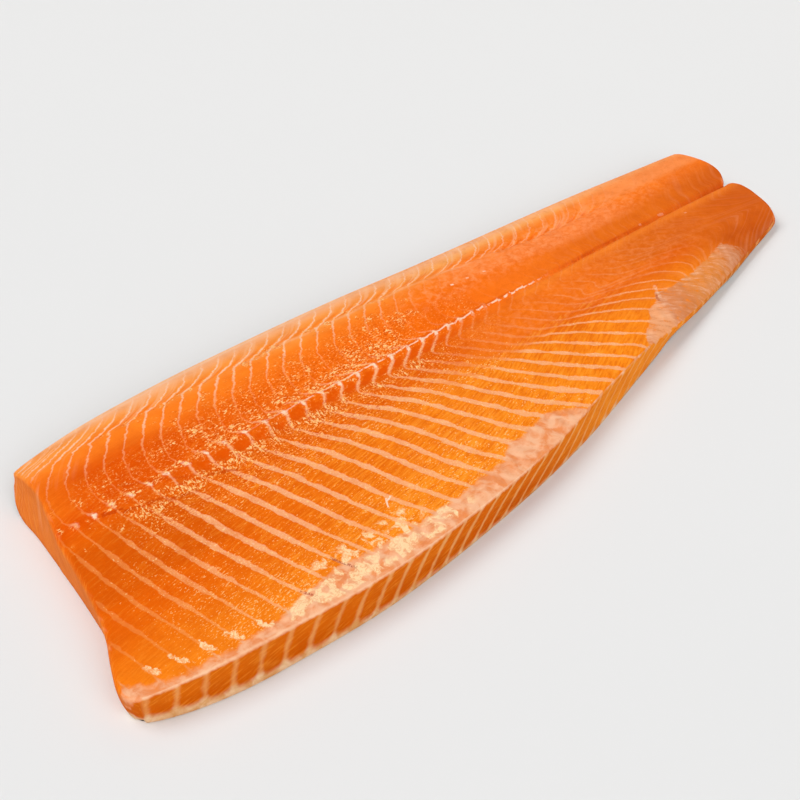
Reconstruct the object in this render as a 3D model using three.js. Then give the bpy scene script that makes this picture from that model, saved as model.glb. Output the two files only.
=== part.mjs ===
// A side of salmon trout with its skin on, lying flesh side up.
// Millimetres. +X runs from the head end to the tail end, +Y from the belly to the back, +Z up.
import * as THREE from "three";
import { mergeVertices } from "three/addons/utils/BufferGeometryUtils.js";

// Cross-sections along the side, one row each. x is measured from the head end and y from the line
// through the fish's backbone; the rest are heights, except bevel.
//   belly, mid, back: y of the belly edge, of the furrow left by the backbone, and of the back edge
//   rim, flank: the cut belly edge, and the flesh just inside it
//   middle, loin, shoulder: the furrow, the thickest muscle, and the back edge
//   bevel: width over which the flank falls to the rim
//   lift: height to which the skin curls up off the table under the belly edge
const MEASURES = "x belly mid back rim flank middle loin shoulder bevel lift".split(" ");
const SECTIONS = [
  [0, -84, -3, 35.5, 12.5, 12.5, 14.5, 17, 14, 6, 0],
  [30, -91, -4.5, 44.5, 13.8, 13.8, 17, 20, 15, 6, 0],
  [60, -94.5, -5.5, 50, 14.3, 14.3, 19, 22.5, 16, 6, 0],
  [100, -97.5, -6.5, 52, 14.5, 14.5, 20.5, 24.5, 17, 6, 0],
  [150, -95.2, -6.5, 52, 14.5, 14.5, 20.5, 25, 17, 6, 0],
  [200, -88.5, -6, 50.2, 14, 14.3, 19.5, 24, 17, 6, 0],
  [250, -76, -4, 47.6, 13.3, 14, 18, 22, 16, 8, 0],
  [285, -68.2, -2.6, 46.7, 12, 14, 16.7, 20, 15, 10, 0.8],
  [320, -61.5, -1, 46, 7.5, 13.8, 15.3, 17.5, 14, 16, 3],
  [360, -52, 0.3, 44.6, 5, 13, 13.6, 15.5, 13, 12, 2.4],
  [400, -41, 1.2, 42.8, 4.5, 10.5, 12, 13.5, 11.5, 9, 1],
  [435, -32, 2, 41.5, 4.5, 8.5, 10, 11.5, 10, 8, 1],
];

// The two cut ends, as x against the share of the way across: -1 the belly, 0 the furrow, 1 the back.
// The head end is cut on a slant, and the tail end is two lobes with a notch between them.
const HEAD_END = [
  [-1, 3], [-0.97, 0.6], [-0.93, -0.6], [-0.88, 0.2], [-0.81, 2.4], [-0.745, 4.7], [-0.61, 9.8],
  [-0.5, 13], [-0.25, 18.3], [0, 22.4], [0.25, 26], [0.5, 29.5], [0.75, 31.2], [1, 31.8],
];
const TAIL_END = [
  [-1, 425], [-0.9, 426.5], [-0.7, 430.3], [-0.5, 432.8], [-0.3, 434.5], [-0.15, 434], [-0.06, 431.5],
  [0, 428.5], [0.08, 431], [0.2, 435], [0.4, 438], [0.65, 438.3], [0.85, 437], [1, 435.5],
];

const LOIN_PLACE = 0.42; // share of the way from the backbone line to the back where the loin is thickest
const FLANK_POWER = 1.2; // how late the flesh drops between the backbone line and the flank
const SHOULDER_POWER = 1.8; // how late it drops between the loin and the back edge

// The furrow over the backbone line, which opens into the notch of the tail: its depth against x.
const FURROW_DEPTH = [[0, 0.3], [250, 0.4], [300, 1.1], [360, 1.5], [410, 2.2], [430, 3.2]];
const FURROW_WIDTH = 2.6;

// Edge rounding: where the top turns down and where the wall turns under, along each side.
const ROUND_TOP = { belly: 1.2, tail: 1.6, back: 3, head: 1.6 };
const ROUND_FOOT = { belly: 0.6, tail: 1, back: 0.4, head: 1 };
const MOST_ROUND = 0.3; // neither takes more than this share of the wall's height
// How far each wall tucks in towards its foot. A negative value leans it out. The belly wall's is
// against x, and the head end's against the share of the way across.
const TUCK = { tail: 2.5, back: 0.4 };
const BELLY_TUCK = [
  [0, 1.2], [15, -1.5], [35, -2.9], [85, -2.6], [130, -1.3], [200, -0.6], [240, -1.8], [268, -0.8],
  [290, 0.4], [325, 3.4], [345, 2.2], [360, 0.5], [400, 0.8], [435, 1],
];
const HEAD_TUCK = [
  [-1, 1.5], [-0.9, 2.6], [-0.65, 3.6], [-0.5, 2], [-0.25, 0.8], [0, 0], [0.25, -1.7], [0.5, -3.5],
  [0.75, -4.2], [1, -1.2],
];

// The skin under the back edge sweeps up in a quarter ellipse, and the curl under the belly edge is
// a parabola.
const BILGE_WIDTH = 20;
const CURL_WIDTH = 16;
const BACK_WALL = 4; // height of the back edge between the shoulder and the skin

// Faces along, across, round the edges and down the walls.
const ALONG = 60;
const ACROSS = 28;
const ROUND_STEPS = 2;
const WALL_STEPS = 2;

// A smooth curve through [position, value] pairs, cubic between them and straight beyond them.
function curveThrough(pairs) {
  const last = pairs.length - 1;
  const span = (i) => pairs[i + 1][0] - pairs[i][0];
  const rise = (i) => (pairs[i + 1][1] - pairs[i][1]) / span(i);
  const slopes = pairs.map((_, i) => {
    if (i === 0 || i === last) return 0;
    return (rise(i - 1) * span(i) + rise(i) * span(i - 1)) / (span(i) + span(i - 1));
  });
  slopes[0] = 1.5 * rise(0) - 0.5 * slopes[1];
  slopes[last] = 1.5 * rise(last - 1) - 0.5 * slopes[last - 1];
  return (at) => {
    if (at <= pairs[0][0]) return pairs[0][1] + slopes[0] * (at - pairs[0][0]);
    if (at >= pairs[last][0]) return pairs[last][1] + slopes[last] * (at - pairs[last][0]);
    let i = 0;
    while (at > pairs[i + 1][0]) i += 1;
    const t = (at - pairs[i][0]) / span(i);
    const first = pairs[i][1] * (1 + 2 * t) * (1 - t) ** 2 + pairs[i + 1][1] * t * t * (3 - 2 * t);
    return first + span(i) * t * (1 - t) * (slopes[i] * (1 - t) - slopes[i + 1] * t);
  };
}

const sectionCurve = (name) =>
  curveThrough(SECTIONS.map((section) => [section[0], section[MEASURES.indexOf(name)]]));
const belly = sectionCurve("belly");
const mid = sectionCurve("mid");
const back = sectionCurve("back");
const rim = sectionCurve("rim");
const flank = sectionCurve("flank");
const middle = sectionCurve("middle");
const loin = sectionCurve("loin");
const shoulder = sectionCurve("shoulder");
const bevel = sectionCurve("bevel");
const lift = sectionCurve("lift");
const headEnd = curveThrough(HEAD_END);
const tailEnd = curveThrough(TAIL_END);
const furrowDepth = curveThrough(FURROW_DEPTH);
const bellyTuck = curveThrough(BELLY_TUCK);
const headTuck = curveThrough(HEAD_TUCK);
const clamp01 = (value) => Math.min(1, Math.max(0, value));

// Plan position at a share along and a share across.
function planPoint(along, across) {
  const x = headEnd(across) + (tailEnd(across) - headEnd(across)) * along;
  const half = across < 0 ? mid(x) - belly(x) : back(x) - mid(x);
  return { x, y: mid(x) + half * across };
}

// Height of the flesh at x and a share across.
function fleshHeight(x, across) {
  const half = across < 0 ? mid(x) - belly(x) : back(x) - mid(x);
  const furrow = furrowDepth(x) * Math.exp(-((across * half) ** 2) / FURROW_WIDTH ** 2);
  if (across < 0) {
    const drop = clamp01(1 - ((1 + across) * half) / bevel(x));
    const slope = middle(x) + (flank(x) - middle(x)) * (-across) ** FLANK_POWER;
    return slope - (flank(x) - rim(x)) * drop * drop - furrow;
  }
  if (across < LOIN_PLACE) {
    const swell = Math.sin(((across / LOIN_PLACE) * Math.PI) / 2);
    return middle(x) + (loin(x) - middle(x)) * swell - furrow;
  }
  const fall = ((across - LOIN_PLACE) / (1 - LOIN_PLACE)) ** SHOULDER_POWER;
  return loin(x) + (shoulder(x) - loin(x)) * fall - furrow;
}

// Height of the skin side: flat on the table, swept up under the back edge, and curled up off the
// table under the thin part of the belly edge.
function skinHeight(x, y) {
  const bilge = clamp01(1 - (back(x) - y) / BILGE_WIDTH);
  const curl = clamp01(1 - (y - belly(x)) / CURL_WIDTH);
  return (shoulder(x) - BACK_WALL) * (1 - Math.sqrt(1 - bilge * bilge)) + Math.max(0, lift(x)) * curl * curl;
}

// The rows across crowd towards the furrow and the two edges. This runs from -1 to 1.
const crowd = (share) => 0.6 * share + 1.05 * share ** 3 - 0.65 * share ** 5;
const acrossAt = (j) => crowd((2 * j) / ACROSS - 1);

// The grid points of the top's border in order: belly, tail, back, head.
function borderSteps() {
  const steps = [];
  for (let i = 0; i < ALONG; i += 1) steps.push({ i, j: 0, side: "belly" });
  for (let j = 0; j < ACROSS; j += 1) steps.push({ i: ALONG, j, side: "tail" });
  for (let i = ALONG; i > 0; i -= 1) steps.push({ i, j: ACROSS, side: "back" });
  for (let j = ACROSS; j > 0; j -= 1) steps.push({ i: 0, j, side: "head" });
  return steps;
}

// The flesh surface as a grid, drawn in from the outline by the edge rounding.
function topPoint(i, j) {
  const across = acrossAt(j);
  const { x, y } = planPoint(i / ALONG, across);
  const inX = i === 0 ? ROUND_TOP.head : i === ALONG ? -ROUND_TOP.tail : 0;
  const inY = j === 0 ? ROUND_TOP.belly : j === ACROSS ? -ROUND_TOP.back : 0;
  return new THREE.Vector3(x + inX, y + inY, fleshHeight(x, across));
}

function tuckAt(side, x, across) {
  if (side === "belly") return bellyTuck(x);
  if (side === "head") return headTuck(across);
  return TUCK[side];
}

// The profile of one wall, from the top's border out over the rounded edge, down and under to the foot.
function wallProfile(top, outward, side, across) {
  const height = top.z - skinHeight(top.x, top.y);
  const round = Math.min(ROUND_TOP[side], height * MOST_ROUND);
  const foot = Math.min(ROUND_FOOT[side], height * MOST_ROUND);
  const tuck = tuckAt(side, top.x, across);
  const at = (out, z) => new THREE.Vector3(top.x + outward.x * out, top.y + outward.y * out, z);
  const footX = top.x + outward.x * (round - tuck - foot);
  const footY = top.y + outward.y * (round - tuck - foot);
  const footZ = Math.min(skinHeight(footX, footY), top.z - round - foot);
  const points = [];
  for (let step = 1; step <= ROUND_STEPS; step += 1) {
    const turn = ((step / ROUND_STEPS) * Math.PI) / 2;
    points.push(at(round * Math.sin(turn), top.z - round * (1 - Math.cos(turn))));
  }
  for (let step = 1; step <= WALL_STEPS; step += 1) {
    const down = step / WALL_STEPS;
    const z = THREE.MathUtils.lerp(top.z - round, footZ + foot, down);
    points.push(at(round - tuck * down ** 1.6, z));
  }
  points.push(at(round - tuck - foot, footZ));
  return points;
}

// Outward direction in plan at each border point.
function outwardAt(points, k) {
  const before = points[(k + points.length - 1) % points.length];
  const after = points[(k + 1) % points.length];
  return new THREE.Vector2(after.y - before.y, before.x - after.x).normalize();
}

// Plan position inside four border curves, by blending them.
function blendBorders(foot, i, j) {
  const u = i / ALONG;
  const v = j / ACROSS;
  const at = (k) => foot[k % foot.length];
  const south = at(i);
  const east = at(ALONG + j);
  const north = at(ALONG + ACROSS + (ALONG - i));
  const west = at(2 * ALONG + ACROSS + (ACROSS - j));
  const corner = (name) => at({ sw: 0, se: ALONG, ne: ALONG + ACROSS, nw: 2 * ALONG + ACROSS }[name]);
  const mix = (axis) =>
    (1 - v) * south[axis] + v * north[axis] + (1 - u) * west[axis] + u * east[axis] -
    (1 - u) * (1 - v) * corner("sw")[axis] - u * (1 - v) * corner("se")[axis] -
    (1 - u) * v * corner("nw")[axis] - u * v * corner("ne")[axis];
  return { x: mix("x"), y: mix("y") };
}

function filletGeometry() {
  const vertices = [];
  const faces = [];
  const add = (point) => vertices.push(point.x, point.y, point.z) / 3 - 1;
  const quad = (a, b, c, d) => faces.push(a, b, c, a, c, d);

  const top = Array.from({ length: ALONG + 1 }, (_, i) =>
    Array.from({ length: ACROSS + 1 }, (_, j) => topPoint(i, j)));
  const topIds = top.map((row) => row.map(add));
  const steps = borderSteps();
  const border = steps.map(({ i, j }) => top[i][j]);
  const profiles = steps.map(({ j, side }, k) =>
    wallProfile(border[k], outwardAt(border, k), side, acrossAt(j)));
  const wallIds = profiles.map((profile, k) => [topIds[steps[k].i][steps[k].j], ...profile.map(add)]);
  const foot = profiles.map((profile) => profile[profile.length - 1]);

  const underIds = topIds.map((row) => row.map(() => -1));
  steps.forEach(({ i, j }, k) => {
    underIds[i][j] = wallIds[k][wallIds[k].length - 1];
  });
  for (let i = 1; i < ALONG; i += 1) {
    for (let j = 1; j < ACROSS; j += 1) {
      const { x, y } = blendBorders(foot, i, j);
      underIds[i][j] = add(new THREE.Vector3(x, y, skinHeight(x, y)));
    }
  }
  for (let i = 0; i < ALONG; i += 1) {
    for (let j = 0; j < ACROSS; j += 1) {
      quad(topIds[i][j], topIds[i + 1][j], topIds[i + 1][j + 1], topIds[i][j + 1]);
      quad(underIds[i][j], underIds[i][j + 1], underIds[i + 1][j + 1], underIds[i + 1][j]);
    }
  }
  wallIds.forEach((column, k) => {
    const next = wallIds[(k + 1) % wallIds.length];
    for (let m = 0; m + 1 < column.length; m += 1) {
      quad(column[m], column[m + 1], next[m + 1], next[m]);
    }
  });

  const geometry = new THREE.BufferGeometry();
  geometry.setAttribute("position", new THREE.Float32BufferAttribute(vertices, 3));
  geometry.setIndex(faces);
  return mergeVertices(geometry, 1e-4);
}

const fleshMaterial = new THREE.MeshStandardMaterial({ color: 0xee7a2a, roughness: 0.38, metalness: 0 });

const geometry = filletGeometry();
// The origin is the middle of the footprint, on the table.
geometry.computeBoundingBox();
const box = geometry.boundingBox;
geometry.translate(-(box.min.x + box.max.x) / 2, -(box.min.y + box.max.y) / 2, -box.min.z);
geometry.computeVertexNormals();

const fillet = new THREE.Mesh(geometry, fleshMaterial);
fillet.name = "fillet";

const salmonTroutSide = new THREE.Group();
salmonTroutSide.add(fillet);

export default salmonTroutSide;
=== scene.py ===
"""A side of salmon trout with its skin on, lying flesh side up on a pale floor.

All sizes are in millimetres until the meshes are made. x runs from the head end to the tail end,
y from the belly to the back, measured from the line through the backbone, and z up from the floor.
"""
import math

import bpy
import numpy as np
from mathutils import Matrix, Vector


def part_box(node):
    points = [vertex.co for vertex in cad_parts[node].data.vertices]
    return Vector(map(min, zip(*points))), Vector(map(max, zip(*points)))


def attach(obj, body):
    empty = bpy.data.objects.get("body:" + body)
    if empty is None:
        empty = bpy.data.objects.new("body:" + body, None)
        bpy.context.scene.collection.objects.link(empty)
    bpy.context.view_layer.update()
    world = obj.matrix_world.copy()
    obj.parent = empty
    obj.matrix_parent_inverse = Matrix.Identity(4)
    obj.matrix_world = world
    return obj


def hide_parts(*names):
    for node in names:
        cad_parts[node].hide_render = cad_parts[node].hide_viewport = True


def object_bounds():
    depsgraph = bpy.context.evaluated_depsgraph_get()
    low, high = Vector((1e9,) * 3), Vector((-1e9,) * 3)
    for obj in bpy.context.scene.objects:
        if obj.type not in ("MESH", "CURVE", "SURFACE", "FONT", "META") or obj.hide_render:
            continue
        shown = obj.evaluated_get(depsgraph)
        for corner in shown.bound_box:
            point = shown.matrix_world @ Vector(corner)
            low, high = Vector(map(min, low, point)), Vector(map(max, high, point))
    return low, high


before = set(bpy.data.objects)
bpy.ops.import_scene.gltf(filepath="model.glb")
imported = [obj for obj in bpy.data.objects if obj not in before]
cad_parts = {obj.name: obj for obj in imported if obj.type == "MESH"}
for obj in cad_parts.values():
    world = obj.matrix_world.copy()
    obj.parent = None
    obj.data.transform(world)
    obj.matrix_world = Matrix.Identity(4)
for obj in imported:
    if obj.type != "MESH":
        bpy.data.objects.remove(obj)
cad_box = [list(corner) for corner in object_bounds()]
node_low, node_high = (np.array(corner) * 1000 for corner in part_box("fillet"))

# ---------------------------------------------------------------- sizes of the side

MEASURES = "x belly mid back rim flank middle loin shoulder bevel lift".split()
SECTIONS = np.array([
    [0, -84, -3, 35.5, 12.5, 12.5, 14.5, 17, 14, 6, 0],
    [30, -91, -4.5, 44.5, 13.8, 13.8, 17, 20, 15, 6, 0],
    [60, -94.5, -5.5, 50, 14.3, 14.3, 19, 22.5, 16, 6, 0],
    [100, -97.5, -6.5, 52, 14.5, 14.5, 20.5, 24.5, 17, 6, 0],
    [150, -95.2, -6.5, 52, 14.5, 14.5, 20.5, 25, 17, 6, 0],
    [200, -88.5, -6, 50.2, 14, 14.3, 19.5, 24, 17, 6, 0],
    [250, -76, -4, 47.6, 13.3, 14, 18, 22, 16, 8, 0],
    [285, -68.2, -2.6, 46.7, 12, 14, 16.7, 20, 15, 10, 0.8],
    [320, -61.5, -1, 46, 7.5, 13.8, 15.3, 17.5, 14, 16, 3],
    [360, -52, 0.3, 44.6, 5, 13, 13.6, 15.5, 13, 12, 2.4],
    [400, -41, 1.2, 42.8, 4.5, 10.5, 12, 13.5, 11.5, 9, 1],
    [435, -32, 2, 41.5, 4.5, 8.5, 10, 11.5, 10, 8, 1],
])
HEAD_END = [
    (-1, 3), (-0.97, 0.6), (-0.93, -0.6), (-0.88, 0.2), (-0.81, 2.4), (-0.745, 4.7), (-0.61, 9.8),
    (-0.5, 13), (-0.25, 18.3), (0, 22.4), (0.25, 26), (0.5, 29.5), (0.75, 31.2), (1, 31.8),
]
TAIL_END = [
    (-1, 425), (-0.9, 426.5), (-0.7, 430.3), (-0.5, 432.8), (-0.3, 434.5), (-0.15, 434),
    (-0.06, 431.5), (0, 428.5), (0.08, 431), (0.2, 435), (0.4, 438), (0.65, 438.3), (0.85, 437),
    (1, 435.5),
]
LOIN_PLACE = 0.42
FLANK_POWER = 1.2
SHOULDER_POWER = 1.8
FURROW_DEPTH = [(0, 0.3), (250, 0.4), (300, 1.1), (360, 1.5), (410, 2.2), (430, 3.2)]
FURROW_WIDTH = 1.7
ROUND_TOP = {"belly": 1.2, "tail": 1.6, "back": 3, "head": 1.6}
ROUND_FOOT = {"belly": 0.6, "tail": 1, "back": 0.4, "head": 1}
MOST_ROUND = 0.3
TUCK = {"tail": 2.5, "back": 0.4}
BELLY_TUCK = [
    (0, 1.2), (15, -1.5), (35, -2.9), (85, -2.6), (130, -1.3), (200, -0.6), (240, -1.8),
    (268, -0.8), (290, 0.4), (325, 3.4), (345, 2.2), (360, 0.5), (400, 0.8), (435, 1),
]
HEAD_TUCK = [
    (-1, 1.5), (-0.9, 2.6), (-0.65, 3.6), (-0.5, 2), (-0.25, 0.8), (0, 0), (0.25, -1.7),
    (0.5, -3.5), (0.75, -4.2), (1, -1.2),
]
BILGE_WIDTH = 20
CURL_WIDTH = 16
BACK_WALL = 4
SIDE_LOW = np.array([-0.212, -99.697])  # where the solid's box starts, measured from the head end

ALONG = 480
ACROSS = 176
HALF = ACROSS // 2
ROUND_STEPS = 4
WALL_STEPS = 10
EDGE_STEPS, BACK_STEPS = 8, 16  # rows of the grid over which the edges are drawn in
UNDER_STEPS = 40  # rows over which the skin side is moved to meet a wall's foot
CALM_STEPS = 8  # rows from a corner within which an edge's own move is held
CORNER_HOLD = 0.3  # how much less it is moved where two walls meet
DRAW_POWER = 1.5
TUCK_POWER = 1.6

# ---------------------------------------------------------------- curves


def curve_through(pairs):
    """A smooth curve through (position, value) pairs, straight beyond its ends."""
    at, value = (np.array(part, float) for part in zip(*pairs))
    span = np.diff(at)
    rise = np.diff(value) / span
    slope = np.empty_like(value)
    slope[1:-1] = (rise[:-1] * span[1:] + rise[1:] * span[:-1]) / (span[1:] + span[:-1])
    slope[0] = 1.5 * rise[0] - 0.5 * slope[1]
    slope[-1] = 1.5 * rise[-1] - 0.5 * slope[-2]

    def curve(x):
        x = np.asarray(x, float)
        i = np.clip(np.searchsorted(at, x, side="right") - 1, 0, len(at) - 2)
        t = (x - at[i]) / span[i]
        bend = value[i] * (1 + 2 * t) * (1 - t) ** 2 + value[i + 1] * t * t * (3 - 2 * t)
        bend += span[i] * t * (1 - t) * (slope[i] * (1 - t) - slope[i + 1] * t)
        bend = np.where(x <= at[0], value[0] + slope[0] * (x - at[0]), bend)
        return np.where(x >= at[-1], value[-1] + slope[-1] * (x - at[-1]), bend)

    return curve


def line_through(*pairs):
    """Straight stretches between (position, value) pairs, level beyond the ends."""
    at, value = zip(*pairs)
    return lambda x: np.interp(x, at, value)


def ease(low, high, x):
    """0 below low, 1 above high, and smooth between; low may be the larger."""
    t = np.clip((np.asarray(x, float) - low) / (high - low), 0, 1)
    return t * t * (3 - 2 * t)


def bump(distance, width):
    """1 on a line, falling away on both sides of it."""
    return np.exp(-(distance / width) ** 2)


def between(low, high, soft, x):
    """1 between low and high, falling to 0 over soft on both sides."""
    return ease(low - soft, low, x) * ease(high + soft, high, x)


def ripple(x, y, size, seed):
    """A smooth uneven pattern between about -1 and 1, with features of the given size."""
    rng = np.random.default_rng(seed)
    total = 0
    for _ in range(9):
        angle, phase = rng.uniform(0, 2 * math.pi, 2)
        pace = rng.uniform(0.6, 1.5) * 2 * math.pi / size
        total = total + np.sin((x * math.cos(angle) + y * math.sin(angle)) * pace + phase)
    return total / 3


section = {
    name: curve_through(list(zip(SECTIONS[:, 0], SECTIONS[:, place])))
    for place, name in enumerate(MEASURES) if name != "x"
}
belly, mid, back = section["belly"], section["mid"], section["back"]
rim, flank, middle, loin = section["rim"], section["flank"], section["middle"], section["loin"]
shoulder, bevel, lift = section["shoulder"], section["bevel"], section["lift"]
head_end, tail_end = curve_through(HEAD_END), curve_through(TAIL_END)
furrow_depth = curve_through(FURROW_DEPTH)
belly_tuck, head_tuck = curve_through(BELLY_TUCK), curve_through(HEAD_TUCK)

# ---------------------------------------------------------------- the side's surfaces


def plan_point(along, across):
    """The place from above at a share of the length and of each half of the width."""
    x = head_end(across) + (tail_end(across) - head_end(across)) * along
    half = np.where(across < 0, mid(x) - belly(x), back(x) - mid(x))
    return x, mid(x) + half * across


def flesh_height(x, across):
    """The flesh's height before its fine relief."""
    half = np.where(across < 0, mid(x) - belly(x), back(x) - mid(x))
    furrow = furrow_depth(x) * bump(across * half, FURROW_WIDTH)
    drop = np.clip(1 - (1 + across) * half / bevel(x), 0, 1)
    slope = middle(x) + (flank(x) - middle(x)) * np.maximum(-across, 0) ** FLANK_POWER
    belly_side = slope - (flank(x) - rim(x)) * drop * drop
    swell = np.sin(np.clip(across / LOIN_PLACE, 0, 1) * math.pi / 2)
    fall = np.clip((across - LOIN_PLACE) / (1 - LOIN_PLACE), 0, 1) ** SHOULDER_POWER
    back_side = middle(x) + (loin(x) - middle(x)) * swell + (shoulder(x) - loin(x)) * fall
    return np.where(across < 0, belly_side, back_side) - furrow


def skin_height(x, y):
    """The skin's height: flat, swept up to the back edge and a little at the belly."""
    bilge = np.clip(1 - (back(x) - y) / BILGE_WIDTH, 0, 1)
    curl = np.clip(1 - (y - belly(x)) / CURL_WIDTH, 0, 1)
    swept = (shoulder(x) - BACK_WALL) * (1 - np.sqrt(1 - bilge * bilge))
    return swept + np.maximum(0, lift(x)) * curl * curl


def crowd(share):
    """Rows across stand a little closer at the furrow and at the two edges."""
    return 0.8 * share + 0.5 * share ** 3 - 0.3 * share ** 5


def top_grid():
    """The flesh surface as a grid, drawn in from the outline by the edge rounding, and its plan."""
    along = np.arange(ALONG + 1)[:, None] / ALONG
    across = crowd(2 * np.arange(ACROSS + 1)[None, :] / ACROSS - 1)
    x, y = plan_point(along, across + 0 * along)
    z = flesh_height(x, across + 0 * x)
    plan = np.stack([x, y], -1)
    i, j = np.arange(ALONG + 1)[:, None], np.arange(ACROSS + 1)[None, :]

    def drawn(steps, reach):
        return np.clip(1 - steps / reach, 0, 1) ** DRAW_POWER

    x = x + ROUND_TOP["head"] * drawn(i, EDGE_STEPS) - ROUND_TOP["tail"] * drawn(ALONG - i, EDGE_STEPS)
    y = y + ROUND_TOP["belly"] * drawn(j, EDGE_STEPS) - ROUND_TOP["back"] * drawn(ACROSS - j, BACK_STEPS)
    return np.stack([x, y, z], -1), plan, across[0]


def border_steps():
    """Grid places round the top's border: belly, tail, back, head."""
    steps = [(i, 0, "belly") for i in range(ALONG)]
    steps += [(ALONG, j, "tail") for j in range(ACROSS)]
    steps += [(i, ACROSS, "back") for i in range(ALONG, 0, -1)]
    return steps + [(0, j, "head") for j in range(ACROSS, 0, -1)]


def wall_columns(top, across, steps):
    """Points down each wall, one column a border point: round the edge, down, and in to the foot."""
    border = np.array([top[i, j] for i, j, _ in steps])
    ahead, behind = np.roll(border, -1, 0), np.roll(border, 1, 0)
    out = np.stack([ahead[:, 1] - behind[:, 1], behind[:, 0] - ahead[:, 0]], -1)
    out /= np.linalg.norm(out, axis=1)[:, None]
    side = np.array([name for _, _, name in steps])
    share = np.array([across[j] for _, j, _ in steps])
    height = border[:, 2] - skin_height(border[:, 0], border[:, 1])
    turn_in, foot = (
        np.minimum([sizes[name] for name in side], height * MOST_ROUND)
        for sizes in (ROUND_TOP, ROUND_FOOT))
    tuck = np.select(
        [side == "belly", side == "head"],
        [belly_tuck(border[:, 0]), head_tuck(share)],
        np.where(side == "tail", TUCK["tail"], TUCK["back"]),
    )
    reach = turn_in - tuck - foot
    foot_x, foot_y = border[:, 0] + out[:, 0] * reach, border[:, 1] + out[:, 1] * reach
    foot_z = np.minimum(skin_height(foot_x, foot_y), border[:, 2] - turn_in - foot)
    columns = [border]

    def add(distance, z):
        columns.append(np.stack([
            border[:, 0] + out[:, 0] * distance, border[:, 1] + out[:, 1] * distance, z], -1))

    for step in range(1, ROUND_STEPS + 1):
        turn = step / ROUND_STEPS * math.pi / 2
        add(turn_in * math.sin(turn), border[:, 2] - turn_in * (1 - math.cos(turn)))
    for step in range(1, WALL_STEPS + 1):
        down = step / WALL_STEPS
        z = border[:, 2] - turn_in + (foot_z + foot - border[:, 2] + turn_in) * down
        add(turn_in - tuck * down ** TUCK_POWER, z)
    add(reach, foot_z)
    return np.stack(columns, 1), side, share


def under_plan(plan, foot):
    """Plan positions of the skin side: the flesh's own, moved near each edge to meet the wall's foot."""
    moved = foot[:, :2]
    i, j = np.arange(ALONG + 1)[:, None, None], np.arange(ACROSS + 1)[None, :, None]

    def near(steps):
        return np.clip(1 - steps / UNDER_STEPS, 0, 1) ** 2

    rim_at = {
        "south": (np.arange(ALONG + 1), plan[:, 0]),
        "east": (ALONG + np.arange(ACROSS + 1), plan[-1]),
        "north": (2 * ALONG + ACROSS - np.arange(ALONG + 1), plan[:, -1]),
        "west": (2 * ALONG + 2 * ACROSS - np.arange(ACROSS + 1), plan[0]),
    }
    move = {}
    for edge, (ring, place) in rim_at.items():
        shift = moved[ring % len(moved)] - place
        shift[:CALM_STEPS], shift[-CALM_STEPS:] = shift[CALM_STEPS], shift[-CALM_STEPS - 1]
        move[edge] = shift
    south, north = near(j) * move["south"][:, None], near(ACROSS - j) * move["north"][:, None]
    west, east = near(i) * move["west"][None], near(ALONG - i) * move["east"][None]
    corner = (near(j) + near(ACROSS - j)) * (near(i) + near(ALONG - i))
    return plan + (south + north + west + east) * (1 - CORNER_HOLD * corner)


# ---------------------------------------------------------------- the pattern of the muscle

# The white sheets between the muscle segments, numbered from the head end. Each crosses the furrow
# near the same place as the next one plus a pitch, and its lean is how far it stands tailward of
# that place, at each distance from the furrow.
FIRST_SHEET = 22.5
SHEET_PITCH = 8.6
PITCH_GROWTH = 0.015
LEAN_AT = [-75, -60, -47, -38, -32, -28, -24, -18, -12, -8, -4, 0, 3, 5, 9, 14, 20, 27, 36]
LEAN = {
    0: [9.5, 7.2, 4.5, 3.5, 2.7, 2.3, 2.1, 1.8, 1.7, 1.5, 1.2, 1.3, 1.5, -0.5, -1, -1.3, 0, 4.5, 12],
    7: [19.8, 14.4, 10.5, 7.9, 6.3, 5.4, 3.9, 2.2, 0.4, -1.1, -1.9, -1.6, -2.1, -4, -5, -3.6, -1,
        4.5, 12],
    14: [33.7, 25.2, 20.5, 16.7, 13.5, 11.6, 9, 4.2, 0.7, -1.8, 0.2, 3.2, 1.7, -3, -4.2, -3.2, -1,
         4.5, 12],
    20: [56.5, 40, 28.5, 21, 16.7, 13.5, 10, 4.5, -0.5, -4.2, -0.5, 5.5, 5, 0, -1.5, -1.5, 0, 5, 12],
    24: [69.5, 51.5, 36.3, 26.2, 16.8, 9, 4, -0.5, -5.5, -8.2, -4, 0.5, 0, -2, -3, -2, 0, 5, 12],
    28: [86, 67, 51, 39.2, 25.7, 13.4, 4.9, -1.1, -7.1, -12, -7, -3, -3, -5, -6, -4, 0, 5, 12],
    31: [72, 56, 41, 44.5, 39, 27.5, 0, -3, -9, -14, -10, -5, -5, -7, -8, -5, 0, 5, 12],
    34: [46, 34, 26, 34.3, 41.5, 42.8, 36, -2, -12, -18, -14, -9, -9, -10, -9, -5, 0, 5, 12],
    46: [40, 30, 22, 30, 34, 32, 20, 2, -10, -18, -14, -9, -9, -10, -9, -5, 0, 5, 12],
}
# Above the crease along the back the sheets sweep tailward: how far, against the distance above it.
CREASE = curve_through([
    (0, 33), (30, 36), (70, 37.5), (120, 37.2), (190, 36), (232, 33.5), (256, 30.2), (285, 27),
    (317, 23.2), (345, 23), (380, 22), (435, 21),
])
SWEEP = curve_through([(0, 0), (2, 5.5), (4.5, 10.5), (8.5, 15), (12.5, 18.5), (16, 21), (24, 25)])

TABLE_STEP = 0.5
TABLE_X = np.arange(-60, 480, 1.0)
TABLE_Q = np.arange(-104, 70, TABLE_STEP)
TABLE_NUMBERS = np.arange(-6, 56, 0.25)  # the sheets' numbers, past both ends of the side
LEAN_EVERY = 4  # the lean is worked out for every fourth of them
LEAN_FIRST, LEAN_LAST = -4, 50
LEAST_PITCH, MOST_PITCH = 1, 14


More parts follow.
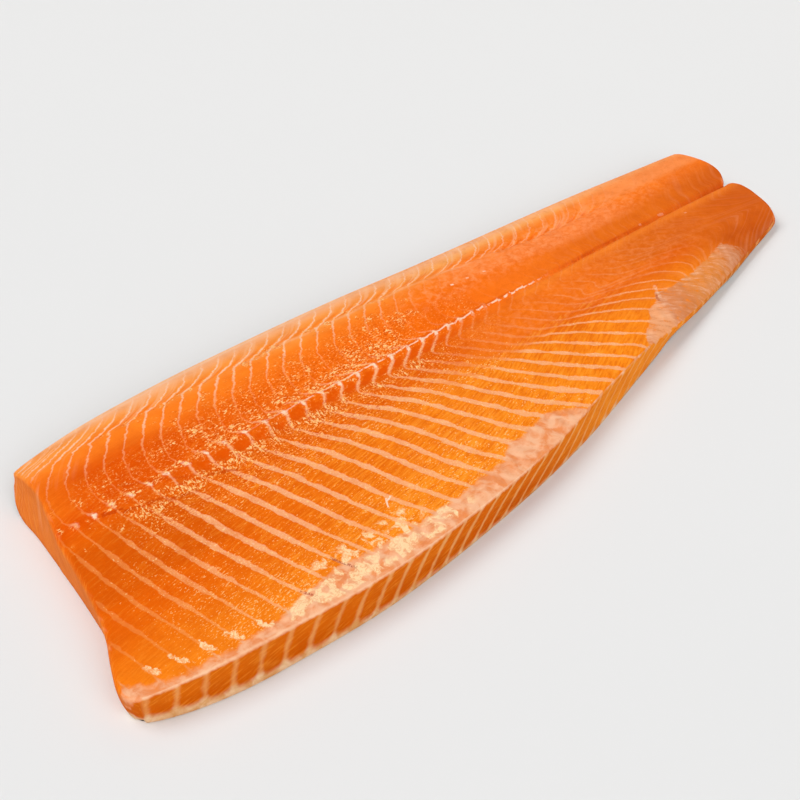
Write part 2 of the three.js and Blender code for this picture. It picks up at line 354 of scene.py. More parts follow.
def sheet_table():
    """The sheet number at every place of a fine grid below the crease."""
    number = TABLE_NUMBERS
    base = FIRST_SHEET + SHEET_PITCH * number + PITCH_GROWTH * number ** 2
    known = number[::LEAN_EVERY]
    leans = np.array([
        curve_through([(key, lean[place]) for key, lean in sorted(LEAN.items())])(
            np.clip(known, LEAN_FIRST, LEAN_LAST))
        for place in range(len(LEAN_AT))])
    by_distance = [curve_through(list(zip(LEAN_AT, lean))) for lean in leans.T]
    table = np.empty((len(TABLE_Q), len(TABLE_X)))
    for row, q in enumerate(TABLE_Q):
        lean = [float(curve(q)) for curve in by_distance]
        place = np.interp(number, known, lean) + base
        table[row] = np.interp(TABLE_X, np.maximum.accumulate(place), number)
    return table


SHEETS = sheet_table()


def lower_phase(x, q):
    """The sheet number below the crease, read from the table."""
    col = np.clip(x - TABLE_X[0], 0, len(TABLE_X) - 1.001)
    row = np.clip((q - TABLE_Q[0]) / TABLE_STEP, 0, len(TABLE_Q) - 1.001)
    i, j = row.astype(int), col.astype(int)
    v, u = row - i, col - j
    return ((1 - v) * ((1 - u) * SHEETS[i, j] + u * SHEETS[i, j + 1])
            + v * ((1 - u) * SHEETS[i + 1, j] + u * SHEETS[i + 1, j + 1]))


def phase_at(x, q):
    """The sheet number at a place: a whole number on a sheet, a half midway between two."""
    above = q - CREASE(x)
    sweep = SWEEP(np.maximum(above, 0)) * (1 + 0.7 * ease(90, 40, x) * ease(2, 12, above))
    high = lower_phase(x - sweep, CREASE(x) + 0 * q)
    return np.where(above > 0, high, lower_phase(x, q))


def pitch_at(x, q):
    """How far apart the sheets stand at a place, in mm."""
    step = 0.5
    by_x = (phase_at(x + step, q) - phase_at(x - step, q)) / (2 * step)
    by_q = (phase_at(x, q + step) - phase_at(x, q - step)) / (2 * step)
    return 1 / np.clip(np.hypot(by_x, by_q), 1 / MOST_PITCH, 1 / LEAST_PITCH)


def to_sheet(phase, pitch):
    """Distance to the nearest sheet, in mm."""
    return np.abs((phase + 0.5) % 1 - 0.5) * pitch


# Where the pale lining of the belly still covers the flesh. Its edge is y from the furrow line.
LINING_HEAD_EDGE = line_through(
    (-2, -70), (4, -73), (10, -77.5), (20, -80.5), (40, -83), (60, -82.5), (72, -79.5), (92, -76),
    (107, -78), (123, -79), (150, -78.5), (165, -75.5), (178, -75.5), (185, -70), (200, -69),
    (212, -66), (225, -71.5), (233, -79),
)
LINING_TAIL_EDGE = line_through(
    (280, -66), (290, -58.5), (300, -53), (302, -50), (312, -47), (317, -42), (322, -45),
    (345, -43.5), (361, -40.5), (376, -36.6), (382, -41), (390, -44), (400, -50),
)


# How wide the sheets are in mm, first against the distance from the furrow, then by how much more
# or less along the side: below the furrow, and close to the belly edge.
SHEET_WIDTH = line_through(
    (-80, 1.3), (-60, 2.1), (-20, 2.2), (-12, 1.2), (-8, 0.75), (-1, 0.7), (4, 0.8), (8, 0.5),
    (16, 0.55), (24, 0.7), (36, 0.7), (50, 0.5),
)
BELOW_FURROW, NEAR_EDGE = -3, -58
BELLY_WIDTH = line_through((10, 0.7), (45, 0.9), (70, 1.1), (240, 1.1), (270, 0.7), (400, 0.45))
EDGE_WIDTH = line_through((60, 0.6), (110, 0.8), (150, 1.2), (240, 1.5), (262, 1))

# How plainly the sheets show, against the distance from the furrow and along each part of the side.
SHEET_STRENGTH = line_through(
    (-90, 0.9), (-15, 0.95), (-8, 0.7), (3, 0.8), (9, 0.55), (36, 0.85), (42, 1.0), (47, 0.9),
    (51, 0.55), (54, 0.15),
)
BELLY_FADE = line_through(
    (18, 0.55), (45, 0.85), (70, 1), (270, 0.95), (300, 0.75), (335, 0.5), (352, 0.28), (366, 0.15),
    (384, 0),
)
LOIN_FADE = line_through(
    (25, 0.5), (60, 0.78), (90, 0.95), (180, 1), (205, 0.7), (230, 0.22), (262, 0.08),
)
CREST_FADE = line_through((25, 0.85), (100, 1), (280, 0.9), (305, 0.6), (350, 0.32), (380, 0))


def sheet_width(x, q):
    """How wide the sheets are, in mm."""
    width = SHEET_WIDTH(q) * np.where(q < BELOW_FURROW, BELLY_WIDTH(x), 1)
    width = width * np.where(q < NEAR_EDGE, EDGE_WIDTH(x), 1)
    finer_flank = 0.3 * between(222, 345, 16, x) * between(-40, -18, 6, q)
    finer_tail = 0.4 * ease(195, 240, x) * ease(24, 30, q)
    finer_head = 0.35 * ease(62, 38, x) * ease(10, 22, q)
    return width * (1 - finer_flank) * (1 - finer_tail) * (1 - finer_head)


def sheet_strength(x, q):
    """How plainly the sheets show."""
    faint_flank = 0.76 * ease(178, 215, x) * between(-29, -11, 5, q)
    faint_by_furrow = 0.75 * ease(202, 232, x) * ease(-15, -11, q)
    belly_fade = BELLY_FADE(x) * (1 - faint_flank) * (1 - faint_by_furrow)
    back_fade = np.where(q < CREASE(x), LOIN_FADE(x), CREST_FADE(x))
    return np.clip(SHEET_STRENGTH(q) * np.where(q < 0, belly_fade, back_fade), 0, 1)


def lining_cover(x, q):
    """1 where the lining covers the flesh."""
    soft = 3 + 4 * ease(48, 18, x)
    by_head = ease(soft, -soft, q - LINING_HEAD_EDGE(x)) * ease(236, 228, x)
    by_tail = ease(1.5, -1.5, q - LINING_TAIL_EDGE(x)) * ease(281, 287, x) * ease(400, 372, x)
    return np.maximum(by_head, by_tail)


def flesh_fields(x, q):
    """The sheets and the lining at a place on the flesh."""
    return {
        "phase": phase_at(x, q), "pitch": pitch_at(x, q), "width": sheet_width(x, q),
        "strength": sheet_strength(x, q), "lining": lining_cover(x, q),
    }


# ---------------------------------------------------------------- how wet and fibrous the flesh is, and its painted glints

# Patches of painted glints, glinting beads and painted sheen, each with its strength, then where it
# starts and ends and how softly: first across the side, from the furrow, and then along it.
GLINT_PATCHES = [
    (0.28, (-9, 12, 5), (26, 52, 10)),
    (0.3, (14, 34, 6), (90, 210, 24)),
]
BEAD_GLINT_PATCHES = [
    (0.6, (3, 14, 8), (96, 196, 14)),
    (0.34, (-12, 13, 5), (198, 238, 14)),
    (0.4, (4, 17, 6), (46, 90, 10)),
    (0.35, (14, 24, 5), (110, 205, 16)),
    (0.8, (-20, -4, 5), (55, 160, 18)),
    (0.45, (-20, -4, 5), (178, 205, 16)),
]
SHEEN_PATCHES = [(0.66, (-88, -72, 6), (88, 130, 12))]
# Rows of glints: strength, distance from the furrow and spread, then start, end and softness along.
GLINT_ROWS = [
    (0.95, 6, 5.5, (100, 190, 14)),
    (0.75, 3, 2.6, (57, 100, 12)),
    (1.15, -7.5, 5.5, (56, 150, 12)),
    (0.7, -9, 4, (164, 196, 12)),
    (0.3, 12, 3, (48, 96, 12)),
]
NO_FAT = -5  # low enough that no fat shows


def soft_patches(places, x, q):
    """The sum of some soft-edged patches."""
    return sum(strength * between(*across, q) * between(*along, x) for strength, across, along in places)


def soft_rows(places, x, q):
    """The sum of some soft-edged rows along the furrow."""
    return sum(
        strength * bump(q - line, spread) * between(*along, x) for strength, line, spread, along in places)


def surface_fields(x, q, lining):
    """How wet, fibrous and streaked the top is, and its painted glints. The wall's own numbers are nought
    here.
    """
    above = q - CREASE(x)
    to_rim = q - (belly(x) - mid(x))
    glints = soft_rows(GLINT_ROWS, x, q) + soft_patches(GLINT_PATCHES, x, q)
    glints = glints + 0.4 * bump(above, 2.5) * between(70, 210, 20, x)
    dashes = between(-84, -30, 12, q) * between(45, 215, 40, x) * (0.55 + 0.45 * ease(-40, -75, q))
    dashes_by_furrow = 0.5 * between(-30, -12, 4, q) * between(90, 220, 30, x)
    crest_streaks = 0.3 * ease(-2, 5, above) * ease(365, 325, x) * ease(53, 45, q)
    tail_streaks = 0.04 * ease(270, 330, x)
    head_streaks = 0.22 * ease(60, 30, x) * ease(20, 30, q)
    flank_streaks = 0.05 * ease(375, 400, x) * ease(-14, -24, q)
    smooth_tail = 1 - 0.9 * np.where(q > -26, ease(185, 225, x), ease(262, 335, x))
    hatching = np.where(q < -8, 0.35 + 0.65 * ease(40, 110, x), 0.35 * ease(40, 10, q))
    sheen_here = ease(45, 75, x) * ease(168, 132, x) * ease(0.5, 5, to_rim)
    nothing = 0 * x
    return {
        "gleam": np.clip(glints, 0, 1),
        "dash_glint": np.clip(dashes + dashes_by_furrow, 0, 1),
        "spark": np.clip(soft_patches(BEAD_GLINT_PATCHES, x, q), 0, 1),
        "painted_sheen": sheen_here * np.maximum(lining, soft_patches(SHEEN_PATCHES, x, q)),
        "hatch": smooth_tail * ease(400, 340, x) * hatching,
        "streak": np.clip(crest_streaks + tail_streaks + head_streaks + flank_streaks, 0, 1),
        # The pale line round the belly rim, partly a painted highlight.
        "rim": bump(to_rim - 0.6, 1.1) * ease(225, 170, x) * ease(2, 34, x) * (1 - 0.9 * ease(60, 120, x)),
        "off": q, "fibre": q, "wall": nothing, "fat": nothing + NO_FAT, "cut": nothing,
    }


# ---------------------------------------------------------------- colours


def tint(red, green, blue):
    """A colour given in display values, as the linear colour that a shader takes."""
    value = np.array([red, green, blue]) / 255
    return np.where(value <= 0.04045, value / 12.92, ((value + 0.055) / 1.055) ** 2.4)


FLESH_DEEP = tint(230, 96, 2)
FLESH_DARK = tint(215, 87, 1)
FLESH_BELLY = tint(250, 137, 24)
FLESH_LOIN_HEAD = tint(224, 82, 0)
FLESH_LOIN_START = tint(238, 108, 14)
FLESH_LOIN = tint(244, 106, 10)
FLESH_LOIN_TAIL = tint(250, 117, 26)
FLESH_UPPER = tint(255, 128, 30)
CREST = tint(255, 152, 62)
CREST_TAIL = tint(255, 170, 88)
BACK_EDGE = tint(255, 176, 118)
BACK_FAT_AND_SHEEN = tint(255, 194, 148)
TAIL_LOIN = tint(218, 102, 20)
TAIL_DEEP = tint(243, 116, 22)
TAIL_CREST = tint(255, 154, 90)
TAIL_BLUSH = tint(255, 144, 82)
NOTCH_SHADE = tint(240, 104, 14)
CREASE_SHADE = tint(248, 118, 18)
CREASE_PALE = tint(255, 190, 140)
TAIL_FURROW_LIGHT = tint(250, 136, 44)
TAIL_RED = tint(192, 76, 8)
TAIL_TIP = tint(210, 92, 18)
HEAD_FACE = tint(232, 122, 46)
WALL_TOP = tint(216, 102, 8)
WALL_LOW_SHADE = tint(200, 86, 0)
WALL_TAIL = tint(240, 138, 34)
WALL_THIN = tint(190, 100, 40)
TAIL_SKIN = tint(150, 104, 66)


def blend(colour, *coats):
    """A colour under some coats, each given with how much of it shows."""
    for coat, amount in coats:
        amount = np.clip(amount, 0, 1)[..., None]
        colour = colour * (1 - amount) + coat * amount
    return colour


def belly_colour(x, q):
    """The flesh below the furrow."""
    inward = q + 13 * ease(205, 290, x)
    bright = 0.85 * ease(40, 215, x) * ease(-12, -34, inward) + 0.7 * ease(-45, -82, q)
    flank_bright = 0.85 * ease(-20, -28, q) * ease(378, 345, x)
    return blend(
        FLESH_DEEP,
        (FLESH_BELLY, bright),
        (FLESH_DARK, 0.8 * between(28, 66, 22, x) * between(-36, -12, 8, q)),
        (FLESH_DARK * 0.92, 0.8 * ease(26, 6, x) * between(-34, -12, 8, q)),
        (TAIL_DEEP, 0.85 * between(232, 330, 22, x) * ease(-33, -22, q)),
        (TAIL_LOIN, 0.8 * ease(290, 350, x) * (1 - flank_bright)),
    )


def loin_colour(x, q):
    """The flesh above the furrow, up to the crest."""
    return blend(
        FLESH_LOIN_HEAD,
        (FLESH_LOIN, ease(60, 170, x)),
        (FLESH_LOIN_START, ease(56, 22, x) * ease(3, 12, q)),
        (FLESH_LOIN_TAIL, ease(215, 270, x)),
        (FLESH_UPPER, ease(14, 30, q - 8 * ease(110, 20, x))),
        (TAIL_LOIN, 0.8 * ease(235, 360, x) * ease(24, 6, q)),
        (TAIL_BLUSH, 0.4 * between(262, 345, 30, x) * between(-9, -3, 6, q - CREASE(x))),
    )


def crest_coats(x, q):
    """The pale crest along the back, and the fat at its edge, with a painted reflection making the edge
    paler.
    """
    dip = between(45, 85, 15, x)
    low = 31 - 4 * between(160, 245, 30, x) + 3 * dip
    crest = ease(low, low + 10, q) * (1 - 0.35 * dip * ease(46, 40, q))
    edge_at = 42 - 6 * ease(170, 260, x) - 2 * ease(320, 350, x) + 4 * ease(95, 45, x)
    return [
        (blend(CREST, (CREST_TAIL, ease(205, 270, x))), crest),
        (BACK_EDGE, ease(0, 9, q - edge_at)),
        (BACK_FAT_AND_SHEEN, ease(50, 56, q)),
    ]


def crease_coats(x, q):
    """Painted shade in the deep hollows along the crease and in its notches by the tail, and pale folds
    along it.
    """
    above = q - CREASE(x)
    from_middle = np.abs(phase_at(x, q) % 1 - 0.5)
    hollow = bump(above - 2.2, 2.4) * ease(0.4, 0.15, from_middle)
    fold = bump(above + 0.9 + 0.5 * np.sin(x / 3.7), 0.9) * (0.7 + 0.3 * np.sin(x / 4.9))
    notch = bump(above - 1.5, 1.6) * ease(0.32, 0.1, from_middle)
    return [
        (CREASE_SHADE, 0.75 * hollow * between(70, 285, 20, x)),
        (CREASE_PALE, 0.5 * fold * between(146, 262, 16, x)),
        (NOTCH_SHADE, 0.9 * notch * between(288, 345, 12, x)),
    ]


def flesh_colour(x, q):
    return blend(
        belly_colour(x, q),
        (loin_colour(x, q), ease(-6, 4, q)),
        *crest_coats(x, q),
        *crease_coats(x, q),
        (TAIL_CREST, 0.6 * ease(325, 390, x) * between(27, 40, 6, q)),
        (TAIL_RED, 0.8 * between(385, 425, 14, x) * bump(q + 37, 7.5)),
        (TAIL_TIP, ease(370, 432, x) * (1 - 0.9 * ease(6, 22, q))),
        # Painted light on the furrow's sides by the tail, which face away from the lamps.
        (TAIL_FURROW_LIGHT, 0.6 * bump(q + 3, 3.5) * between(275, 425, 20, x)),
    )


# ---------------------------------------------------------------- relief of the flesh


def relief(x, q, fields):
    """Height of the fine forms on the flesh, in mm."""
    gap = to_sheet(fields["phase"], fields["pitch"])
    from_middle = np.abs(fields["phase"] % 1 - 0.5) * fields["pitch"]
    above = q - CREASE(x)
    jagged = above - 0.9 * np.sin(x / 2.3) - 0.6 * np.sin(x / 1.3 + 1)
    tear_at = -3 - 0.32 * (x - 50)
    lip = 0.35 * bump(q - 1.5 - 0.5 * np.sin(x / 2.7), 0.8) * between(110, 292, 14, x)
    knots = 0.4 * bump(gap, 1.3) * bump(q - 2, 1.4) * between(30, 250, 20, x)
    film = 0.16 * fields["lining"] * ripple(x, q, 7, 3)
    swell = 0.08 * ripple(x, q, 17, 4) * ease(420, 300, x)
    sheets = 0.14 * bump(gap, 0.9) * fields["strength"]
    pits = 0.6 * bump(from_middle, 2.9) * bump(q + 2.9, 2.3) * between(74, 240, 20, x)
    tail_crack = 0.5 * bump(q - 0.5 * np.sin(x / 3.1), 0.8) * between(298, 430, 10, x)
    tear = 0.18 * bump(q - tear_at, 0.9) * between(46, 86, 8, x)
    crease = 0.22 * bump(jagged, 1.3) * between(80, 300, 25, x)
    tail_crease = 0.4 * bump(jagged, 1.3) * between(290, 346, 14, x)
    notches = 0.5 * bump(from_middle, 3) * bump(above - 1.2, 1.6) * between(288, 345, 12, x)
    raised = lip + knots + film + swell
    return raised - (sheets + pits + tail_crack + tear + crease + tail_crease + notches)


# ---------------------------------------------------------------- shader helper

STROKE_CORE = 0.35  # the share of a mark's width that it covers fully


class Term:
    """A value or colour in a material. Arithmetic on it adds Math nodes."""

    def __init__(self, look, socket):
        self.look, self.socket = look, socket

    def math(self, operation, *values):
        return self.look.node("ShaderNodeMath", {"operation": operation}, dict(enumerate(values)))

    def __add__(self, other):
        return self.math("ADD", self, other)

    __radd__ = __add__

    def __sub__(self, other):
        return self.math("SUBTRACT", self, other)

    def __rsub__(self, other):
        return self.math("SUBTRACT", other, self)

    def __mul__(self, other):
        return self.math("MULTIPLY", self, other)

    __rmul__ = __mul__

    def size(self):
        return self.math("ABSOLUTE", self)

    def part(self):
        return self.math("FRACT", self)

    def root(self):
        return self.math("SQRT", self)

    def high(self, other):
        return self.math("MAXIMUM", self, other)


class Look:
    """One material with its nodes."""

    def __init__(self, name):
        self.material = bpy.data.materials.new(name)
        self.material.use_nodes = True
        self.tree = self.material.node_tree
        self.tree.nodes.clear()

    def node(self, kind, settings=None, inputs=None, output=0):
        node = self.tree.nodes.new(kind)
        for name, value in (settings or {}).items():
            setattr(node, name, value)
        for name, value in (inputs or {}).items():
            if isinstance(value, Term):
                self.tree.links.new(value.socket, node.inputs[name])
            else:
                node.inputs[name].default_value = value
        return Term(self, node.outputs[output])

    def field(self, name):
        """A number kept on the mesh."""
        return self.node("ShaderNodeAttribute", {"attribute_name": name}, output="Fac")

    def field_colour(self, name):
        return self.node("ShaderNodeAttribute", {"attribute_name": name}, output="Color")

    def place(self, x=1.0, y=1.0, z=1.0):
        """The place on the object in mm, stretched."""
        spot = self.node("ShaderNodeTexCoord", output="Object")
        scale = (1000 * x, 1000 * y, 1000 * z)
        return self.node("ShaderNodeVectorMath", {"operation": "MULTIPLY"}, {0: spot, 1: scale})

    def noise(self, spot, scale, detail=2.0, roughness=0.5, distortion=0.0):
        return self.node("ShaderNodeTexNoise", {"noise_dimensions": "3D"}, {
            "Vector": spot, "Scale": scale, "Detail": detail, "Roughness": roughness,
            "Distortion": distortion})

    def cells(self, spot, scale, feature, randomness):
        return self.node("ShaderNodeTexVoronoi", {"feature": feature}, {
            "Vector": spot, "Scale": scale, "Randomness": randomness})

    def ease(self, value, low, high):
        """0 at low, 1 at high, smooth between."""
        return self.node("ShaderNodeMapRange", {"interpolation_type": "SMOOTHSTEP", "clamp": True}, {
            "Value": value, "From Min": low, "From Max": high, "To Min": 0.0, "To Max": 1.0})

    def zone(self, value, rise, fall):
        """1 in a stretch, with its rise and its fall each given as (from, to)."""
        return self.ease(value, *rise) * self.ease(value, *fall)

    def paint(self, colour, *coats):
        """A colour under some coats, each given with how much of it shows."""
        for coat, amount in coats:
            colour = self.mix(colour, coat, amount)
        return colour

    def mix(self, first, second, amount, kind="MIX"):
        """One colour over another. Each is a link or its three linear numbers."""
        settings = {"data_type": "RGBA", "blend_type": kind, "clamp_factor": True}
        first, second = (
            colour if isinstance(colour, Term) else (*map(float, colour), 1.0)
            for colour in (first, second))
        return self.node("ShaderNodeMix", settings, {0: amount, 6: first, 7: second}, output=2)

    def vector(self, x, y, z):
        return self.node("ShaderNodeCombineXYZ", None, {0: x, 1: y, 2: z})

    def bump(self, height, strength, distance):
        inputs = {"Height": height, "Strength": strength, "Distance": distance / 1000}
        return self.node("ShaderNodeBump", None, inputs)

    def part_of(self, vector, place):
        return self.node("ShaderNodeSeparateXYZ", None, {0: vector}, place)

    def stroke(self, x, y, start, end, width):
        """1 along a short straight mark between two places, 0 beyond its width."""
        run, rise = end[0] - start[0], end[1] - start[1]
        length = math.hypot(run, rise)
        run, rise = run / length, rise / length
        along = (x - start[0]) * run + (y - start[1]) * rise
        off = (y - start[1]) * run - (x - start[0]) * rise
        beyond = (along - length / 2).size() - length / 2
        return self.ease(off.size().high(beyond), width, width * STROKE_CORE)

    def finish(self, sockets):
        """The material, with its surface's sockets given."""
        shader = self.node("ShaderNodeBsdfPrincipled", None, sockets)
        end = self.tree.nodes.new("ShaderNodeOutputMaterial")
        self.tree.links.new(shader.socket, end.inputs["Surface"])
        return self.material


# ---------------------------------------------------------------- materials

SHEET_TAN = tint(242, 148, 74)
SHEET_PALE = tint(248, 177, 126)
SHEET_WHITE = tint(253, 206, 166)
SHEET_CREAM = tint(236, 172, 104)
SHEET_LOIN = tint(253, 160, 96)
SHEET_CREST = tint(255, 212, 180)
NODE_PINK = tint(250, 188, 150)
NODE_WHITE = tint(255, 226, 198)
# Painted highlights for the wet glints and sheen, and the painted shade beside the glints.
WET_AMBER_GLINT = tint(254, 160, 62)
WET_PALE_GLINT = tint(255, 218, 152)
WET_SHEEN = tint(255, 218, 166)
GLINT_SHADE = tint(212, 74, 0)
FIBRE_PALE_GLINT = tint(255, 170, 58)
FIBRE_DEEP = tint(218, 88, 2)
PIT_RED = tint(226, 84, 0)
CRACK_SHADE = tint(192, 58, 0)
VEIN_RED = tint(166, 54, 26)
LINING_PINK = tint(232, 144, 94)
LINING_PALE = tint(245, 186, 146)
LINING_DULL = tint(222, 148, 108)
LINING_STREAK = tint(242, 190, 156)
LINING_THIN = tint(228, 140, 64)
LINING_SHADE = tint(204, 118, 64)
LINING_END = tint(204, 120, 62)
HAZE_PINK = tint(255, 160, 100)
FAT_CREAM = tint(234, 198, 158)
FAT_TAN = tint(214, 154, 92)
SKIN_SILVER = tint(196, 192, 186)
SKIN_GREY = tint(150, 150, 146)
SKIN_SLATE = tint(70, 72, 70)
SKIN_DARK = tint(44, 46, 46)
SCALE_EDGE = tint(40, 40, 40)
SCALE_CLOSENESS = 0.62
SCALE_UNEVENNESS = 0.35

# Where each feature of the flesh lies, along the side or across it from the furrow: first where
# it starts and where it is full, then where it has gone and where it is still full.
HAZE_ALONG = (195, 240), (450, 320)
HAZE_ACROSS = (7, 18), (36, 25)
FLAKES_ALONG = (205, 240), (410, 340)
FLAKES_ACROSS = (-3, -9), (-36, -26)
PITS_ALONG = (66, 90), (262, 190)
PINK_SHEETS_ALONG = (60, 90), (230, 200)
THIN_LINING_ALONG = (318, 340), (376, 360)
PALE_LINING_ALONG = (284, 296), (314, 306)
DARK_LINING_ALONG = (309, 322), (340, 328)
STREAKY_LINING_ALONG = (318, 332), (372, 356)
THREAD_ALONG = (98, 160), (292, 270)
SHADOW_ALONG = (185, 210), (280, 250)
KNOTS_ALONG = (22, 40), (262, 215)
CRACK_ALONG = (292, 312), (392, 335)
SHEET_ENDS_ALONG = (10, 14), (70, 58)

# The noises that several layers share: closeness, detail and roughness.
GRAIN = 1.5, 3.0, 0.65
MOTTLE = 0.11, 3.0, 0.6
TEAR = 0.4, 2.0, 0.5
CLOUD = 0.16, 4.0, 0.6, 0.6  # and distortion

# Short straight marks, each from one place to another: x along the side, then the distance from
# the furrow.
CRACKS = [
    ((43, 0.4), (49, -1.6)), ((50, -3), (57.5, -5)), ((58, -5.4), (65, -7.4)),
    ((66, -9.8), (76, -11.6)), ((84.5, -8), (94, -12)),
]
FAINT_CRACKS = [((55, 8.6), (63, 4.6)), ((63.4, 4.4), (71, 1.8)), ((71.4, 0.4), (80, -4))]
VEIN_ALONG = ((73, -77.6), (76.6, -83.5))
VEIN_ACROSS = ((91.6, -72), (95.4, -80.5))
NICK = ((312.6, -48), (315, -44.6))
NICK_EDGE = [((315.2, -47), (317.2, -43.6)), ((317.6, -42.6), (320.4, -39.4))]
LARGE_SPOT = ((243.6, 19.7), (244.2, 19.5))
SMALL_SPOTS = [((253.2, 19.2), (253.8, 19)), ((263.4, 18.2), (264.2, 18))]
FAINT_SPOTS = [((359.5, 1.2), (360.5, 1)), ((374.5, 1.4), (378, 1)), ((385.6, -6.8), (386.6, -7))]
FLECK = [((125.4, -65), (127.6, -61.6)), ((126.6, -63), (129.6, -61.6))]


class FleshLook(Look):
    """Wet raw flesh: muscle segments with pale sheets between them, fine fibres and wet glints."""

    def __init__(self):
        super().__init__("salmon_trout_flesh")
        self.spot = self.place()
        self.x = self.part_of(self.spot, 0) - (node_low[0] - SIDE_LOW[0])
        self.off, self.phase, self.pitch = map(self.field, ("off", "phase", "pitch"))
        self.lining, self.wall, self.cut = map(self.field, ("lining", "wall", "cut"))
        self.grain, self.mottle, self.tear = (self.wave(*kind) for kind in (GRAIN, MOTTLE, TEAR))
        self.cloud = self.noise(self.spot, *CLOUD) - 0.5
        self.share = self.phase.part()
        self.segment = self.phase - self.share
        self.to_nearest = ((self.phase + 0.5).part() - 0.5) * self.pitch
        self.on_loin = self.ease(self.off, 2.0, 8.0)

    def wave(self, scale, detail=2.0, roughness=0.5):
        """Noise about zero."""
        return self.noise(self.spot, scale, detail, roughness) - 0.5

    def strongest(self, so_far, marks, across, width, amount):
        """The strongest of what there is so far and each of some short marks."""
        for start, end in marks:
            so_far = so_far.high(self.stroke(self.x, across, start, end, width) * amount)
        return so_far

    def find_sheets(self):
        """The pale sheets: an uneven band about each whole number of the phase."""
        wander = self.wave(0.3, 3.0, 0.6) * (1.6 + self.on_loin * 1.4)
        self.gap = (self.to_nearest + wander).size()
        ragged = self.gap + self.wave(0.9) * 0.7
        thick = self.field("width") * (0.5 + self.wave(0.17, 1.0) * 0.8)
        line = self.ease(ragged - thick, 0.34 + self.wall * 0.75, -0.26 - self.wall * 0.65)
        self.line = line * self.field("strength") * (0.85 + self.mottle * 0.8)

    def fibres(self, colour):
        """Fine fibres run across the segments, and streaks along them near the back and the tail."""
        x, amount = self.x, self.field("hatch")
        across, segment = (self.share - 0.5) * self.pitch, self.segment
        strand = self.field("fibre") - across * (0.2 + self.ease(x, 150, 260) * 0.25)
        hatch = self.noise(self.vector(across * 0.16, strand * 1.35, segment * 7.7), 0.95, 2.0, 0.6)
        self.specks = self.noise(self.vector(across * 0.6, strand * 1.4, segment * 3.1), 1.35, 2.0, 0.55)
        streaks = self.noise(self.vector(self.phase * 2.2, self.off * 0.03, 0.0), 1.0, 2.0, 0.55)
        hairs = self.noise(self.vector(self.phase * 6.5, self.off * 0.06, x * 0.03), 1.0, 2.0, 0.55)
        warm = self.mottle * 0.9 + self.grain * 0.5
        shift = self.vector(1 + warm * 0.3, 1 + warm * 0.6, 1 + warm)
        self.fibre_height = hatch * amount
        return self.paint(
            self.mix(colour, shift, 1.0, "MULTIPLY"),
            (FIBRE_DEEP, self.ease(hatch, 0.52, 0.32) * 0.45 * amount),
            # The pale fibres are partly painted glints.
            (FIBRE_PALE_GLINT, self.ease(hatch, 0.48, 0.7) * 0.4 * amount),
            (SHEET_WHITE, self.ease(streaks, 0.5, 0.68) * self.field("streak")),
            (SHEET_LOIN, self.ease(hairs, 0.5, 0.75) * self.ease(x, 255, 330) * 0.1),
        )

    def haze(self, colour):
        """Milky clots on the loin and the flank of the tail, and worn places beside them."""
        x, off = self.x, self.off
        clot_spot = self.vector(x * 0.9 + off * 0.5, off * 1.1 - x * 0.45, 0.0)
        clots = self.noise(clot_spot, 0.3, 4.0, 0.6, 0.4)
        hazy = self.zone(x, *HAZE_ALONG) * self.zone(off, *HAZE_ACROSS)
        flaky = self.zone(x, *FLAKES_ALONG) * self.zone(off, *FLAKES_ACROSS)
        return self.paint(
            colour,
            (HAZE_PINK, (hazy * 0.6 + flaky * 0.22) * self.ease(clots, 0.42, 0.7)),
            (FIBRE_DEEP, self.ease(x, 190, 240) * self.ease(clots, 0.48, 0.3) * 0.22),
        )

    def furrow_pits(self, colour):
        """Dark pits between the sheets, just on the belly side of the furrow."""
        vary = self.noise(self.vector(self.segment * 5.3, 2.0, 0.0), 1.0, 0.0) - 0.5
        pit_x = (self.share - 0.5) * 2.6
        pit_off = (self.off + 2.9 + vary * 2.4 + (self.share - 0.5) * 1.6) * 0.34
        from_pit = (pit_x * pit_x + pit_off * pit_off).root() + self.tear * 1.7 + vary * 1.2
        row = self.zone(self.x, *PITS_ALONG)
        self.pits = self.ease(from_pit, 1.05, 0.6) * row
        leg_off = (self.off + 2.8).size() + self.grain * 2.5
        legs = self.ease(self.gap + self.tear * 2.0, 1.1, 0.3) * self.ease(leg_off, 4.6, 2.4) * row
        return self.paint(
            colour,
            (SHEET_PALE, legs * self.ease(self.x, 260, 180) * 0.6),
            (PIT_RED, self.pits * (0.85 + self.grain * 1.2)),
        )

    def sheets(self, colour):
        """The sheets' own colours: tan at the head, white on the belly, pink at the furrow."""
        x, off = self.x, self.off
        near_furrow = self.ease((off - 0.5).size(), 7, 2) * self.zone(x, *PINK_SHEETS_ALONG)
        pale = self.paint(
            SHEET_TAN,
            (SHEET_PALE, self.ease(x + self.mottle * 60, 25, 95)),
            (SHEET_WHITE, self.ease(self.grain, 0.0, 0.16) * self.ease(x, 20, 70) * 0.8),
            (SHEET_LOIN, self.on_loin),
            (SHEET_CREAM, self.wall),
            (SHEET_CREST, self.ease(off, 14, 34) * 0.9),
            (NODE_PINK, near_furrow * (1 - self.wall)),
        )
        # Pale wet dots on the sheets: painted glints.
        dots = self.ease(self.wave(1.0, 1.0), 0.17, 0.25) * self.ease(self.line, 0.2, 0.7)
        return self.paint(colour, (pale, self.line * 0.95), (WET_PALE_GLINT, dots * (1 - self.cut) * 0.7))

